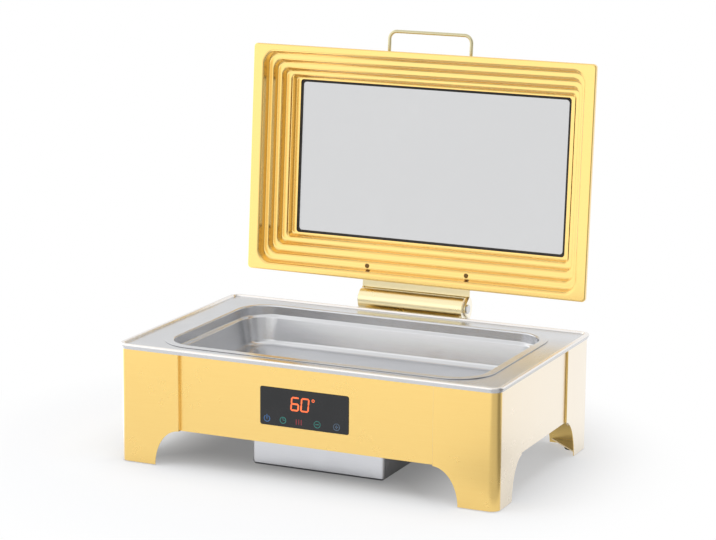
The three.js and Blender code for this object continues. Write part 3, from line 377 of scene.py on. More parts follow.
def skinFinish(name, light, deep, rough, scale=900.0, bump=0.1, coat=0.0):
    # moulded or cast skin: a fine pebble in the height and a slow change of tone
    material, tree, shader, coordinates = newMaterial(name)
    skin = placeGroup(tree, "skin", coordinates, Scale=scale)
    tone = mixColour(tree, skin.outputs["Tone"], light, deep)
    setSocket(tree, shader.inputs["Base Color"], tone)
    shader.inputs["Coat Weight"].default_value = coat
    wipedRoughness(tree, shader, coordinates, scale=14.0, clean=rough[1], wiped=rough[0])
    bumpNode(tree, shader, skin.outputs["Skin"], bump)
    return material


def glassFinish():  # clear sheet with a slight grey body and faint wiped patches
    material, tree, shader, coordinates = newMaterial("windowGlass")
    wiped = wipedRoughness(tree, shader, coordinates, scale=6.0, clean=0.0, wiped=0.02)
    tone = mixColour(tree, wiped, (0.660, 0.664, 0.672), (0.672, 0.676, 0.684))
    setSocket(tree, shader.inputs["Base Color"], tone)
    shader.inputs["Transmission Weight"].default_value = 1
    shader.inputs["IOR"].default_value = 1.45
    return material


def displayFinish():  # glossy black print with a slight change of tone and wiped patches
    material, tree, shader, coordinates = newMaterial("displayGlass")
    skin = placeGroup(tree, "skin", coordinates, Scale=1500.0)
    tone = mixColour(tree, skin.outputs["Tone"], (0.014, 0.015, 0.017), (0.010, 0.011, 0.013))
    setSocket(tree, shader.inputs["Base Color"], tone)
    wipedRoughness(tree, shader, coordinates, scale=20.0, clean=0.12, wiped=0.2)
    return material


def litFinish(name, colour, strength=0.35):  # a light behind the glass, uneven as a lit print is
    material, tree, shader, coordinates = newMaterial(name)
    skin = placeGroup(tree, "skin", coordinates, Scale=4000.0)
    glow = mixColour(tree, skin.outputs["Tone"], colour, [0.75 * value for value in colour])
    setSocket(tree, shader.inputs["Base Color"], glow)
    setSocket(tree, shader.inputs["Emission Color"], glow)
    shader.inputs["Emission Strength"].default_value = strength
    shader.inputs["Roughness"].default_value = 0.4
    return material


goldTones = ((0.956, 0.68, 0.242), (0.935, 0.64, 0.215))
steelTones = ((0.68, 0.685, 0.70), (0.62, 0.625, 0.64))
# in a metal finish the colour after the roughness is its painted sheen, the tone it pales to when
# seen edge on
finishes = {
    "gold": ("gold_steel", metalFinish(
        "goldSteel", *goldTones, (0.26, 0.30), (0.97, 0.92, 0.84), bump=0.002)),
    "lidGold": ("gold_steel", metalFinish(
        "lidGold", *goldTones, (0.16, 0.20), (1, 0.97, 0.92), sheenGain=0.35, bump=0.002)),
    "handleGold": ("gold_steel", metalFinish(
        "handleGold", (0.64, 0.59, 0.38), (0.56, 0.51, 0.32), (0.26, 0.3), (0.92, 0.88, 0.74),
        sheenGain=0.7)),
    "paleGold": ("gold_steel", metalFinish(
        "paleGold", (0.985, 0.87, 0.55), (0.97, 0.84, 0.5), (0.26, 0.3), (1, 0.98, 0.94))),
    "steel": ("steel", metalFinish("brightSteel", *steelTones, (0.22, 0.26))),
    # between these heights, in metres, the rim's lip is painted nearly white as a highlight
    "rimSteel": ("steel", metalFinish(
        "rimSteel", *steelTones, (0.22, 0.26), lipHighlight=(0.1792, 0.1802))),
    "boxSteel": ("steel", metalFinish(
        "dullBoxSteel", (0.74, 0.75, 0.78), (0.70, 0.71, 0.74), (0.3, 0.42))),
    "darkSteel": ("dark_steel", metalFinish(
        "darkSteel", (0.36, 0.35, 0.33), (0.28, 0.27, 0.26), (0.32, 0.48))),
    # the bolt heads are painted a dark brown that stands in for the shade on and round them
    "boltBrown": ("dark_steel", metalFinish(
        "boltBrown", (0.24, 0.15, 0.06), (0.17, 0.10, 0.04), (0.35, 0.5))),
    "aluminium": ("cast_aluminium", skinFinish(
        "castAluminium", (0.55, 0.56, 0.57), (0.47, 0.48, 0.49), (0.45, 0.6), 700.0, 0.3)),
    "brass": ("brass", metalFinish("brass", (0.78, 0.56, 0.2), (0.7, 0.48, 0.16), (0.25, 0.38))),
    "rubber": ("black_rubber", skinFinish(
        "blackRubber", (0.02, 0.019, 0.017), (0.03, 0.028, 0.026), (0.6, 0.78), 1400.0, 0.15)),
    "plastic": ("black_plastic", skinFinish(
        "blackPlastic", (0.018, 0.018, 0.02), (0.026, 0.026, 0.028), (0.4, 0.55), 1800.0, 0.12)),
    "nylon": ("nylon", skinFinish(
        "nylon", (0.78, 0.74, 0.66), (0.7, 0.66, 0.58), (0.4, 0.55))),
    "ceramic": ("ceramic", skinFinish(
        "ceramicBoard", (0.78, 0.75, 0.7), (0.68, 0.65, 0.6), (0.75, 0.9), 500.0, 0.4)),
    "circuit": ("circuit_board", skinFinish(
        "circuitBoard", (0.012, 0.12, 0.045), (0.02, 0.16, 0.06), (0.25, 0.4), 1200.0, 0.05, 0.5)),
    "sleeve": ("cable_sleeve", skinFinish(
        "cableSleeve", (0.025, 0.025, 0.027), (0.035, 0.035, 0.038), (0.4, 0.55))),
    "display": ("display_glass", displayFinish()),
    "window": ("window_glass", glassFinish()),
    "litRed": ("display_glass", litFinish("litRed", (1.0, 0.17, 0.05), 0.9)),
    "markBlue": ("display_glass", litFinish("markBlue", (0.05, 0.13, 0.30))),
    "markGreen": ("display_glass", litFinish("markGreen", (0.03, 0.20, 0.17))),
    "markRed": ("display_glass", litFinish("markRed", (0.22, 0.025, 0.035))),
    "markGrey": ("display_glass", litFinish("markGrey", (0.08, 0.12, 0.18))),
}

bodies = frame["record"]["behaviour"]["bodies"]
bodyOf = {name: group for group, names in bodies.items() for name in names}
easing = {"segments": 2, "fromAngle": 40, "normalWeight": 60, "merge": 1e-6, "flatAngle": 0.6}


def addObject(name, data):
    obj = bpy.data.objects.new(name, data)
    bpy.context.scene.collection.objects.link(obj)
    return obj


def finishPiece(obj, rideOn, finish, stands, bevel, smooth):
    slotName, material = finishes[finish]
    obj.data.materials.clear()
    obj.data.materials.append(material)
    obj.data.shade_smooth()
    obj.data.set_sharp_from_angle(angle=math.radians(smooth))
    if bevel:
        softEdge = obj.modifiers.new("softEdge", "BEVEL")
        softEdge.width = bevel * mm
        softEdge.segments = easing["segments"]
        softEdge.limit_method = "ANGLE"
        softEdge.angle_limit = math.radians(easing["fromAngle"])
    evenNormals = obj.modifiers.new("evenNormals", "WEIGHTED_NORMAL")
    evenNormals.keep_sharp = True
    evenNormals.weight = easing["normalWeight"]
    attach(obj, rideOn)
    if stands:
        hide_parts(*stands)


def cleanMesh(mesh):  # doubles merged, slivers dropped and faces turned outwards
    work = bmesh.new()
    work.from_mesh(mesh)
    bmesh.ops.remove_doubles(work, verts=work.verts, dist=easing["merge"])
    bmesh.ops.dissolve_degenerate(work, edges=work.edges, dist=easing["merge"])
    bmesh.ops.recalc_face_normals(work, faces=work.faces)
    work.to_mesh(mesh)
    work.free()


def joinFlats(mesh):  # faces that lie in one plane become one face
    work = bmesh.new()
    work.from_mesh(mesh)
    bmesh.ops.dissolve_limit(work, angle_limit=math.radians(easing["flatAngle"]),
                             verts=work.verts, edges=work.edges)
    work.to_mesh(mesh)
    work.free()


def makePiece(name, shells, place, rideOn, finish, stands=(), bevel=0.0, smooth=40):
    points, faces, count = [], [], 0
    for shellPoints, shellFaces in shells:
        points.append(place(shellPoints))
        faces += [[index + count for index in face] for face in shellFaces]
        count += len(shellPoints)
    mesh = bpy.data.meshes.new(name)
    mesh.from_pydata(np.concatenate(points).tolist(), [], faces)
    cleanMesh(mesh)
    finishPiece(addObject(name, mesh), rideOn, finish, stands, bevel, smooth)


def softenNode(nodeName, finish, bevel, smooth=50, outX=0.0):
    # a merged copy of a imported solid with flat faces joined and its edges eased
    mesh = nodes[nodeName].data.copy()
    mesh.transform(Matrix.Translation((outX * mm, 0, 0)))
    mesh.name = nodeName + "_eased"
    if mesh.has_custom_normals:
        mesh.attributes.remove(mesh.attributes["custom_normal"])
    cleanMesh(mesh)
    joinFlats(mesh)
    finishPiece(addObject(mesh.name, mesh), bodyOf[nodeName], finish, [nodeName], bevel, smooth)


print("body")

legs = {"fold": 1.5, "corner": 14, "bendSteps": 10, "floorGap": 1.5, "plateLow": 6,
        "plateHigh": 8, "plateOver": 2}
arch = {"frontFoot": 60, "sideFoot": 58, "front": 57, "side": 62.06, "sweep": 40, "spots": 26,
        "jump": 0.01, "fromFold": 0.1}


def archSpots(edge, seamAt):  # places where the arch beside a foot bends, closer as it steepens
    sweep = np.linspace(0, math.pi / 2, arch["spots"])[1:-1]
    spots = edge - arch["sweep"] * (1 - np.sin(sweep))
    spots = np.append(spots, [edge - arch["jump"], edge + arch["jump"]])
    return spots[spots > seamAt + legs["fold"] + arch["fromFold"]]


def legShells(signX, signY):
    # plan path folded round the corner; at each point a loop of outer bottom, outer top, inner top
    # and inner bottom, the bottom lifted by the quarter ellipse of each arch
    outline = [
        (seam["x"], body["panelY"] + seat),
        (seam["x"], body["halfY"]),
        (body["halfX"], body["halfY"]),
        (body["halfX"], seam["y"]),
        (body["panelX"] + body["sideOut"] + seat, seam["y"]),
    ]
    bends = [0, legs["fold"], legs["corner"], legs["fold"], 0]
    base = bentPath(outline, bends, legs["bendSteps"])
    length = np.append(0, np.cumsum(np.linalg.norm(np.diff(base, axis=0), axis=1)))
    frontStart = legs["bendSteps"] + 1
    sideStart = 2 * frontStart
    edges = (body["halfX"] - arch["frontFoot"], body["halfY"] - arch["sideFoot"])
    spots = np.unique(np.concatenate([
        length,
        length[frontStart] - base[frontStart][0] + archSpots(edges[0], seam["x"]),
        length[sideStart] + base[sideStart][1] - archSpots(edges[1], seam["y"]),
    ]))
    outer, inner = (
        np.stack([np.interp(spots, length, path[:, k]) for k in (0, 1)], 1)
        for path in (base, besidePath(base, -body["sheet"]))
    )
    low = np.full(len(spots), legs["floorGap"])
    for k, height in enumerate((arch["front"], arch["side"])):
        reach = np.clip((outer[:, k] - edges[k]) / arch["sweep"] + 1, 0, 1)
        low = np.maximum(low, height * np.sqrt(1 - reach**2))
    top = np.full_like(low, body["top"])
    sign = np.array([signX, signY])
    loop = [(outer, low), (outer, top), (inner, top), (inner, low)]
    grid = np.stack([np.column_stack([plan * sign, height]) for plan, height in loop], 1)
    middle = body["sheet"] / 2
    plateX, plateY = body["halfX"] - middle, body["halfY"] - middle
    ends = [edge + legs["plateOver"] for edge in edges]
    plate = bentPath([(ends[0], plateY), (plateX, plateY), (plateX, ends[1])],
                     [0, legs["corner"] - middle, 0], legs["bendSteps"])
    return [gridShell(grid), prismShell(plate * sign, legs["plateLow"], legs["plateHigh"])]


# turned pad with a rounded foot, a shallow ring groove under it and a waisted neck
footPads = {"x": 286.8, "y": 170.8, "sides": 40, "profile": [
    (0, 0.6), (5, 0.6), (5.6, 0.05), (10.2, 0), (11.3, 0.3), (12, 1.2), (11.9, 1.9), (10.8, 3.2),
    (10.5, 5.4), (10.2, 5.7), (0, 5.7)]}

for place, signX, signY in (("front_left", -1, -1), ("front_right", 1, -1), ("rear_left", -1, 1),
                            ("rear_right", 1, 1)):
    makePiece("legSheet_" + place, legShells(signX, signY), placeBody, "base", "gold",
              ["leg_" + place], bevel=0.25)
    centre = (signX * footPads["x"], signY * footPads["y"], 0)
    pad = turnedShell(footPads["profile"], "z", centre, footPads["sides"])
    makePiece("rubberFoot_" + place, [pad], placeBody, "base", "rubber", ["foot_pad_" + place],
              smooth=30)

for nodeName, side in (("front_panel", 0), ("rear_panel", 0), ("side_panel_left", -1),
                       ("side_panel_right", 1)):
    softenNode(nodeName, "gold", bevel=0.3, outX=side * body["sideOut"])

print("water pan and food pan")

waterPan = {"mouth": 51, "wellFrom": 25, "shiftY": 13.5, "floor": 83.06, "corner": 50, "draft": 6,
            "floorIn": 24, "skirtIn": 2.2, "skirtLow": 174, "skirtHigh": 178.6, "lipIn": 6,
            "lipFoot": 7.5, "bends": [0, 2.5, 1.8, 0.7, 0.5, 3, 12, 0], "cornerSteps": 16}


def waterRings(inset, height):  # the rim follows the body's outline, the well its own
    inWell = inset > waterPan["wellFrom"]
    insetY = inset - np.where(inWell, waterPan["shiftY"], 0)
    wellCorner = waterPan["corner"] + waterPan["mouth"] - inset
    corner = np.where(inWell, wellCorner, rim["corner"] - inset)
    return roundedRings(rim["halfX"] - inset, rim["halfY"] - insetY, corner, height,
                        waterPan["cornerSteps"])


floorEdge = waterPan["mouth"] + waterPan["draft"]
waterPath = bentPath(
    [
        (waterPan["skirtIn"], waterPan["skirtLow"]),
        (0, waterPan["skirtHigh"]),
        (0, rim["top"]),
        (waterPan["lipIn"], rim["top"]),
        (waterPan["lipFoot"], rim["ledge"]),
        (waterPan["mouth"], rim["ledge"]),
        (floorEdge, waterPan["floor"]),
        (floorEdge + waterPan["floorIn"], waterPan["floor"]),
    ],
    waterPan["bends"],
)
makePiece("waterPanSheet", [pressedShell(waterPath[::-1], rim["sheet"], waterRings)], placeBody,
          "base", "rimSteel", ["water_pan"], bevel=0.2)

foodPan = {"halfX": 265, "halfY": 162.5, "corner": 62, "top": 180.3, "floor": 118.3, "flange": 14,
           "neck": 16, "ridge": 3.5, "draft": 8, "floorIn": 20, "sheet": 1,
           "bends": [0, 3, 3, 3, 10, 0], "cornerSteps": 18}


def foodRings(inset, height):
    return roundedRings(foodPan["halfX"] - inset, foodPan["halfY"] - inset,
                        foodPan["corner"] - inset, height, foodPan["cornerSteps"])


wallTop = foodPan["flange"] + foodPan["ridge"]
wallFoot = wallTop + foodPan["draft"]
neckLow = foodPan["top"] - foodPan["neck"]
foodPath = bentPath(
    [
        (0, foodPan["top"]),
        (foodPan["flange"], foodPan["top"]),
        (foodPan["flange"], neckLow),
        (wallTop, neckLow - foodPan["ridge"]),
        (wallFoot, foodPan["floor"]),
        (wallFoot + foodPan["floorIn"], foodPan["floor"]),
    ],
    foodPan["bends"],
)
makePiece("foodPanSheet", [pressedShell(foodPath[::-1], foodPan["sheet"], foodRings)], placeBody,
          "food_pan", "steel", ["food_pan"], bevel=0.2)

print("lid")

# side and end are the profiles of the long and the short sides, as inset and height
shell = {
    "flange": 12,
    "swell": (4, 7),
    "window": 57.5,
    "corners": {"flange": 6, "recess": 20, "window": 5},
    "side": [(0, 7), (0, 0), (12, 0), (14, 18), (26, 18), (28, 32), (40, 32), (42, 46), (51, 46),
             (53, 59), (57.5, 59)],
    "sideBends": [0, 2.2, 5, 5, 5, 5, 5, 5, 4, 4, 0],
    "end": [(0, 7), (0, 0), (18, 0), (20, 18), (27, 18), (29, 32), (36, 32), (38, 46), (46, 46),
            (50, 59), (57.5, 59)],
    "endBends": [0, 2.2, 4, 1, 1.6, 1, 1.6, 1, 2, 1, 0],
    "bendSteps": 10,
}


def lidCorner(inset):
    # the corner radius swells from the flange's edge to the recess and shrinks again to the window
    corners = shell["corners"]
    swellFrom, swellTo = shell["swell"]
    onFlange = np.clip((inset - swellFrom) / (swellTo - swellFrom), 0, 1)
    onFlange = onFlange * onFlange * (3 - 2 * onFlange)
    inRecess = np.clip((inset - shell["flange"]) / (shell["window"] - shell["flange"]), 0, 1)
    outside = corners["flange"] + (corners["recess"] - corners["flange"]) * onFlange
    inside = corners["recess"] + (corners["window"] - corners["recess"]) * inRecess
    return np.where(inset < shell["flange"], outside, inside)


def lidRings(insetX, insetY, corner, height):
    return roundedRings(lid["halfX"] - insetX, lid["halfY"] - insetY, corner, height,
                        lid["cornerSteps"])


def steppedShell():
    # the steps of the long sides turn into the narrower ones of the short ends round each corner:
    # side height + (end height - side height) * cos(angle) squared
    side, end = (
        sheetLoop(bentPath(shell[name], shell[name + "Bends"], shell["bendSteps"]), lid["sheet"])
        for name in ("side", "end")
    )
    grid = lidRings(end[:, 0], side[:, 0], lidCorner(side[:, 0]), side[:, 1])
    toEnd = np.cos(cornerAngles(lid["cornerSteps"])) ** 2
    grid[..., 2] += (end[:, 1] - side[:, 1])[:, None] * toEnd
    return gridShell(grid, True)


makePiece("lidShellSheet", [steppedShell()], placeLid, "lid", "lidGold", ["lid_shell"],
          bevel=0.15)

window = {"sealLow": 60.3, "sealHigh": 62.3, "glassLow": 62.6, "glassHigh": 66.6, "outside": 7,
          "showing": 4, "corner": 11, "glassEdge": 0.5, "cornerSteps": 10}
clamp = {"outside": 47.5, "inside": 56.5, "low": 47.3, "high": 68.1, "bend": 1.5, "sheet": 1.2}
sealInner = shell["window"] + window["showing"]
sealOuter = shell["window"] - window["outside"]
sealPath = bentPath(
    [
        (sealOuter, window["sealHigh"]),
        (sealOuter, window["sealLow"]),
        (sealInner, window["sealLow"]),
        (sealInner, window["sealHigh"]),
        (sealOuter, window["sealHigh"]),
    ],
    [0, 0.4, 0.9, 0.9, 0],
)[:-1]


def sealRings(inset, height):  # the seal's corners go from the glass corner to the window corner
    share = np.clip((inset - sealOuter) / (sealInner - sealOuter), 0, 1)
    corner = window["corner"] + (shell["corners"]["window"] - window["corner"]) * share
    return lidRings(inset, inset, corner, height)


def clampRings(inset, height):
    return lidRings(inset, inset, lidCorner(inset), height)


makePiece("windowSeal", [gridShell(sealRings(*sealPath.T), True)], placeLid, "lid", "rubber",
          ["window_gasket"])
pane = slabShell(lid["halfX"] - sealOuter, lid["halfY"] - sealOuter, window["corner"],
                 window["glassLow"], window["glassHigh"], window["glassEdge"],
                 window["cornerSteps"])
makePiece("windowPane", [pane], placeLid, "lid", "window", ["window_glass"])
clampPath = bentPath([(clamp["outside"], clamp["low"]), (clamp["outside"], clamp["high"]),
                      (clamp["inside"], clamp["high"])], clamp["bend"])
makePiece("windowClamp", [pressedShell(clampPath, -clamp["sheet"], clampRings, True)], placeLid,
          "lid", "lidGold", ["window_frame"], bevel=0.15)

handle = {"halfX": 69.5, "radius": 2.8, "bar": -211.2, "depth": 39, "end": -143, "bend": 12,
          "bendSteps": 10, "sides": 28, "collarSides": 32,
          "collar": [(2.85, 0), (4.4, 0), (4.6, -0.3), (4.6, -5.9), (4.45, -6.4), (3.6, -6.9),
                     (2.85, -6.9)]}
handleRoute = [(side * handle["halfX"], handle[place], handle["depth"])
               for side, place in ((-1, "end"), (-1, "bar"), (1, "bar"), (1, "end"))]
handleWire = wireShell(handleRoute, handle["radius"], handle["bend"], handle["bendSteps"],
                       handle["sides"])
makePiece("handleLoop", [handleWire], placeLid, "lid", "handleGold", ["lid_handle"])

screwSides = 48
lidBolts = {"x": 85, "y": 162, "head": 14.7, "nutLow": 22.1,
            "bolt": [(0, 2.2), (1.5, 2.2, 1), (1.6, 1.7, 1), (2.0, 1.6), (2.6, 1.7), (3.2, 2),
                     (3.5, 2.4), (3.5, 2.8), (3.3, 3), (2.4, 3), (2.4, 14.1), (2.0, 14.7),
                     (0, 14.7)],
            "nut": [(2.5, 0), (4.4, 0, 0.6), (4.8, 0.4, 1), (4.8, 3, 1), (4.3, 3.45, 0.6),
                    (2.5, 3.5)]}
leftRight = (("left", -1), ("right", 1))
for place, side in leftRight:
    centre = (side * handle["halfX"], handle["end"], handle["depth"])
    collar = turnedShell(handle["collar"], "y", centre, handle["collarSides"], True)
    makePiece("handleCollar_" + place, [collar], placeLid, "lid", "handleGold",
              ["handle_ferrule_" + place], smooth=35)
for place, side in leftRight:
    x, y = side * lidBolts["x"], lidBolts["y"]
    bolt = turnedShell(lidBolts["bolt"], "z", (x, y, lidBolts["head"]), screwSides)
    nut = turnedShell(lidBolts["nut"], "z", (x, y, lidBolts["nutLow"]), screwSides, True)
    makePiece("lidBolt_" + place, [bolt], placeLid, "lid", "boltBrown", ["lid_bolt_" + place],
              smooth=30)
    makePiece("lidNut_" + place, [nut], placeLid, "lid", "steel", ["lid_nut_" + place], smooth=30)

print("hinge")

for nodeName in ("lid_bracket", "hinge_base"):
    softenNode(nodeName, "paleGold", bevel=0.35, smooth=40)
for nodeName in ("hinge_bush_left", "hinge_bush_right"):
    softenNode(nodeName, "nylon", bevel=0.3)
softenNode("hinge_damper", "darkSteel", bevel=0.3)
softenNode("hinge_pin", "steel", bevel=0.2)

hingeScrews = {"x": 66, "seat": 185.6, "heights": (116, 146),
               "profile": [(0, 1.1), (1.4, 1.1, 1), (1.7, 2.5, 1), (2.1, 2.6), (3.2, 2.3),
                           (4.2, 1.6), (4.75, 0.7), (4.8, 0.1), (4.6, 0), (2.4, 0), (2.4, -9.2),
                           (1.9, -9.9), (0, -9.9)]}
screwPlaces = [(side, height) for side in (-1, 1) for height in hingeScrews["heights"]]
for number, (side, height) in enumerate(screwPlaces, 1):
    centre = (side * hingeScrews["x"], hingeScrews["seat"], height)
    screw = turnedShell(hingeScrews["profile"], "y", centre, screwSides)
    makePiece(f"hingeScrewHead_{number}", [screw], placeBody, "base", "steel",
              [f"hinge_screw_{number}"], smooth=30)

print("controls")

display = {"halfX": 71, "halfZ": 28.5, "z": 112.9, "face": -182.5, "thickness": 3, "corner": 3,
           "edge": 0.35, "cornerSteps": 6}
displaySlab = slabShell(display["halfX"], display["halfZ"], display["corner"],
                        -display["thickness"], 0, display["edge"], display["cornerSteps"])
makePiece("displayPane", [standingShell(displaySlab, display["face"], display["z"])], placeBody,
          "base", "display", ["display_glass"])

marks = {"low": 0.02, "high": 0.12, "ringSides": 28}
digits = {"low": 110.9, "wide": 11.5, "high": 19, "stroke": 2.4, "gap": 0.06, "lean": 0.08,
          "six": ("acdefg", -20.5), "zero": ("abcdef", -4.5), "degree": (14.5, 128.4, 2.4, 1.3)}


def strokeOutline(start, end, width):  # a bar with pointed ends
    start, end = np.asarray(start, float), np.asarray(end, float)
    along = unit(end - start) * width / 2
    across = np.array([-along[1], along[0]])
    return np.array([start, start + along + across, end - along + across, end,
                     end - along - across, start + along - across])


def markShell(outline):
    return standingShell(prismShell(outline, marks["low"], marks["high"]), display["face"])


def digitShells(lit, left):  # the lit bars of one seven bar digit
    wide, high = digits["wide"] / 2, digits["high"] / 2
    bars = {"a": ((-wide, high), (wide, high)), "b": ((wide, high), (wide, 0)),
            "c": ((wide, 0), (wide, -high)), "d": ((wide, -high), (-wide, -high)),
            "e": ((-wide, -high), (-wide, 0)), "f": ((-wide, 0), (-wide, high)),
            "g": ((-wide, 0), (wide, 0))}
    shells = []
    for bar in lit:
        outline = strokeOutline(*bars[bar], digits["stroke"])
        reach = np.maximum(np.linalg.norm(outline, axis=1)[:, None], 1)
        outline *= 1 - digits["gap"] / reach
        outline[:, 0] += outline[:, 1] * digits["lean"] + left + wide
        outline[:, 1] += digits["low"] + high
        shells.append(markShell(outline))
    return shells


def ringShell(x, z, outer, inner, start=0.0, sweep=360.0):  # a flat band along a circle
    angle = np.radians(start + np.linspace(0, sweep, marks["ringSides"] + 1))
    turn = np.stack([np.cos(angle), np.sin(angle)], 1)
    low, high = marks["low"], marks["high"]
    grid = np.stack([np.column_stack([turn * size + (x, z), np.full(len(turn), height)])
                     for size, height in ((outer, low), (outer, high), (inner, high),
                                          (inner, low))], 1)
    return standingShell(gridShell(grid, sweep == 360.0), display["face"])


numberShells = digitShells(*digits["six"]) + digitShells(*digits["zero"])
numberShells.append(ringShell(*digits["degree"]))
makePiece("litNumber", numberShells, placeBody, "base", "litRed")

# Icons about their middles: a ring is outer and inner radius, start and sweep, and a bar is two
# ends and a width
iconZ = 93.9
icons = {
    "touchPower": {"finish": "markBlue", "x": -60, "ring": (5.2, 3.9, 120, 300),
                   "bars": [(0, -1, 0, 6.5, 1.4)]},
    "touchTimer": {"finish": "markGreen", "x": -34, "ring": (5.2, 4.0),
                   "bars": [(0, 0, 0, 4, 1.2), (0, 0, 3.2, 0, 1.2)]},
    "touchHeat": {"finish": "markRed", "x": -8.5,
                  "bars": [(x, -4.5, x, 4.5, 1.6) for x in (-4, 0, 4)]},
    "touchLess": {"finish": "markGreen", "x": 21, "ring": (5.4, 4.4), "bars": [(-3, 0, 3, 0, 1.4)]},
    "touchMore": {"finish": "markGrey", "x": 52, "ring": (5.4, 4.4),
                  "bars": [(-3, 0, 3, 0, 1.4), (0, -3, 0, 3, 1.4)]},
}
for name, icon in icons.items():
    middle = np.array([icon["x"], iconZ])
    shells = [ringShell(*middle, *icon["ring"])] if "ring" in icon else []
    for x0, z0, x1, z1, width in icon["bars"]:
        shells.append(markShell(strokeOutline(middle + (x0, z0), middle + (x1, z1), width)))
    makePiece(name, shells, placeBody, "base", icon["finish"])

for nodeName in ("control_housing", "control_cover", "power_relay", "power_inlet"):
    softenNode(nodeName, "plastic", bevel=0.3)
softenNode("control_board", "circuit", bevel=0.1)
for name in ("live", "neutral", "earth"):
    softenNode("inlet_blade_" + name, "brass", bevel=0.3)

print("heater")

for nodeName, finish, bevel in (
    ("heater_box", "boxSteel", 0.4),
    ("heater_rail_left", "darkSteel", 0.3),
    ("heater_rail_right", "darkSteel", 0.3),
    ("insulation_board", "ceramic", 0.5),
    ("heating_plate", "aluminium", 0.8),
    ("thermal_cutout", "ceramic", 0.3),
    ("temperature_probe", "steel", 0.3),
    ("terminal_block", "ceramic", 0.3),
    ("cable_grommet", "rubber", 0.2),
    ("heating_element", "darkSteel", 0),
    ("heater_cable", "sleeve", 0),
    ("mains_cable", "sleeve", 0),
):
    softenNode(nodeName, finish, bevel)

print("studio")

camera = {"azimuth": 24.5, "elevation": 12.06, "roll": 0.42, "target": (-1.28, 5, 284.69),
          "distance": 3804.89, "focalPixels": 2537.09, "imageWidth": 716, "sensor": 36}


def makeCamera():
    # stands off the target along its bearing, looks back at it, and is rolled about that line
    azimuth, elevation = math.radians(camera["azimuth"]), math.radians(camera["elevation"])
    back = Vector((math.sin(azimuth) * math.cos(elevation),
                   -math.cos(azimuth) * math.cos(elevation), math.sin(elevation)))
    right = Vector((0, 0, 1)).cross(back).normalized()
    up = back.cross(right)
    roll = math.radians(camera["roll"])
    right, up = (right * math.cos(roll) + up * math.sin(roll),
                 up * math.cos(roll) - right * math.sin(roll))
    target = Vector(placeBody(camera["target"]))
    turn = Matrix((right, up, back)).transposed().to_4x4()
    data = bpy.data.cameras.new("photoCamera")
    data.sensor_width = camera["sensor"]
    data.lens = camera["focalPixels"] * camera["sensor"] / camera["imageWidth"]
    data.clip_end = 100
    obj = addObject("photoCamera", data)
    obj.matrix_world = Matrix.Translation(target + back * camera["distance"] * mm) @ turn
    bpy.context.scene.camera = obj


def rayMask(tree):  # 1 for what the camera sees straight, in metal or through glass
    path = tree.nodes.new("ShaderNodeLightPath")
    seen = mathNode(tree, "MAXIMUM", path.outputs["Is Camera Ray"], path.outputs["Is Glossy Ray"])
    return mathNode(tree, "MAXIMUM", seen, path.outputs["Is Transmission Ray"])


def stageMaterial(name, mesh):
    material = bpy.data.materials.new(name)
    mesh.materials.append(material)
    return emptyTree(material)


floor = {"half": 30, "colour": (0.36, 0.365, 0.375, 1), "liftUnder": 0.19, "lift": 0.46,
         "liftFrom": -0.10, "liftTo": 0.05, "underX": -0.05, "halfX": 0.25, "halfY": 0.175,
         "middle": (-0.08, -0.08, 0), "keepShadow": 0.38, "white": 0.60}


def makeFloor():
    # diffuse near the dish, where its shadow lies, and plain white further out; a little light of
    # its own keeps the shadow soft, less of it under the dish than beside it
    mesh = bpy.data.meshes.new("studioFloor")
    half = floor["half"]
    mesh.from_pydata([(-half, -half, 0), (half, -half, 0), (half, half, 0), (-half, half, 0)], [],
                     [(0, 1, 2, 3)])
    obj = addObject("studioFloor", mesh)
    tree = stageMaterial("studioFloor", mesh)
    spot = tree.nodes.new("ShaderNodeTexCoord").outputs["Object"]
    away = vectorNode(tree, "DISTANCE", spot, floor["middle"]).outputs["Value"]
    far = rangeNode(tree, away, floor["keepShadow"], floor["white"])
    seen = rayMask(tree)
    plan = addNode(tree, "ShaderNodeSeparateXYZ", Vector=spot)
    past = []
    for label, centre, half in (("X", floor["underX"], floor["halfX"]),
                                ("Y", middleY, floor["halfY"])):
        shifted = mathNode(tree, "SUBTRACT", plan.outputs[label], centre)
        past.append(mathNode(tree, "SUBTRACT", mathNode(tree, "ABSOLUTE", shifted), half))
    beside = mathNode(tree, "MAXIMUM", *past)
    liftHere = rangeNode(tree, beside, floor["liftFrom"], floor["liftTo"], floor["liftUnder"],
                         floor["lift"])
    paint = addNode(tree, "ShaderNodeBsdfDiffuse", Color=floor["colour"])
    lift = addNode(tree, "ShaderNodeEmission", Strength=mathNode(tree, "MULTIPLY", seen, liftHere))
    lit = tree.nodes.new("ShaderNodeAddShader")
    tree.links.new(paint.outputs[0], lit.inputs[0])
    tree.links.new(lift.outputs[0], lit.inputs[1])
    plain = addNode(tree, "ShaderNodeEmission", Strength=1.0)
    blend = addNode(tree, "ShaderNodeMixShader")
    setSocket(tree, blend.inputs[0], mathNode(tree, "MULTIPLY", seen, far))
    tree.links.new(lit.outputs[0], blend.inputs[1])
    tree.links.new(plain.outputs[0], blend.inputs[2])
    addNode(tree, "ShaderNodeOutputMaterial", Surface=blend.outputs[0])


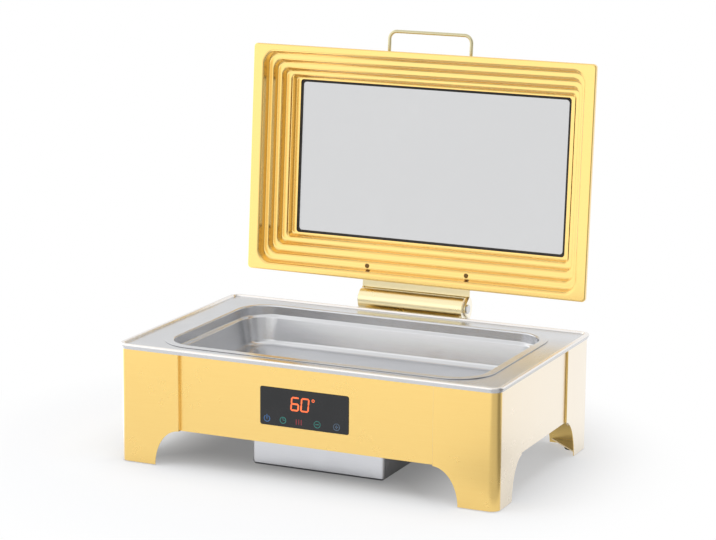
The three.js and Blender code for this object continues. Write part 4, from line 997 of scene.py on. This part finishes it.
# Cards that only reflections see: a grey one on the right gives the bends their brown lines,
# brighter ones on the left and in front light the faces of the lid, and a dark one on the floor
# under the dish darkens what the heater box reflects. Outline is distance and height, and tones are
# bearing and brightness.
cardSteps = 48
cards = {
    "greyCard": {"outline": [(0.42, 0.002), (1.2, 0.002), (1.5, 0.3), (1.5, 1.9)],
                 "tones": [(18, 1.0), (24, 0.69), (60, 0.64), (70, 0.28), (92, 0.28), (100, 0.95),
                           (112, 1.0)]},
    "frontCard": {"outline": [(1.3, 0.002), (1.9, 0.002), (2.2, 0.3), (2.2, 1.6)],
                  "tones": [(-60, 1.0), (-46, 1.32), (-6, 1.32), (8, 1.0)]},
    "leftCard": {"outline": [(0.42, 0.002), (0.9, 0.002), (1.2, 0.3), (1.2, 1.9)],
                 "tones": [(-150, 0.9), (-128, 0.9), (-116, 1.6), (-76, 1.6), (-60, 1.0)]},
    "underCard": {"outline": [(0, 0.003), (0.17, 0.003)], "stretch": 1.6, "shiftY": middleY,
                  "tones": [(0, 0.03), (360, 0.03)]},
}


def makeCards():
    # the outline is carried round the dish, and each bearing has its tone
    for name, card in cards.items():
        away, height = np.array(card["outline"]).T
        corners, tones = np.array(card["tones"]).T
        bearing = np.linspace(corners[0], corners[-1], cardSteps)
        turn = np.radians(bearing)[:, None]
        x = away * np.sin(turn) * card.get("stretch", 1)
        y = -away * np.cos(turn) + card.get("shiftY", 0)
        grid = np.stack(np.broadcast_arrays(x, y, height), -1)
        mesh = bpy.data.meshes.new(name)
        mesh.from_pydata(grid.reshape(-1, 3).tolist(), [],
                         gridFaces(*grid.shape[:2], False, False))
        tone = mesh.attributes.new("tone", "FLOAT", "POINT")
        tone.data.foreach_set("value", np.repeat(np.interp(bearing, corners, tones), len(away)))
        obj = addObject(name, mesh)
        tree = stageMaterial(name, mesh)
        shade = addNode(tree, "ShaderNodeAttribute", {"attribute_name": "tone"})
        glow = addNode(tree, "ShaderNodeEmission", Strength=shade.outputs["Fac"])
        addNode(tree, "ShaderNodeOutputMaterial", Surface=glow.outputs[0])
        for kind in ("camera", "diffuse", "transmission", "volume_scatter", "shadow"):
            setattr(obj, "visible_" + kind, False)


sky = {"seen": 1.0, "light": 0.55}


def makeWorld():
    world = bpy.data.worlds.new("studioWorld")
    tree = emptyTree(world)
    extra = mathNode(tree, "MULTIPLY", rayMask(tree), sky["seen"] - sky["light"])
    shade = addNode(tree, "ShaderNodeBackground", Color=(1, 1, 1, 1),
                    Strength=mathNode(tree, "ADD", extra, sky["light"]))
    addNode(tree, "ShaderNodeOutputWorld", Surface=shade.outputs[0])
    bpy.context.scene.world = world


lampAim = Vector((0, 0, 0.2))
lamps = {
    "overhead": {"place": (-0.1, -0.5, 2.4), "size": 2.6, "power": 66},
    "frontLeft": {"place": (-1.9, -2.0, 1.5), "size": 1.6, "power": 9},
}


def makeLamps():
    for name, lamp in lamps.items():
        data = bpy.data.lights.new(name, "AREA")
        data.size = lamp["size"]
        data.energy = lamp["power"]
        obj = addObject(name, data)
        obj.location = lamp["place"]
        obj.rotation_euler = (lampAim - obj.location).to_track_quat("-Z", "Y").to_euler()
        obj.visible_glossy = False


makeCamera()
makeFloor()
makeCards()
makeWorld()
makeLamps()
bpy.context.scene.view_settings.view_transform = "Standard"

print("done")
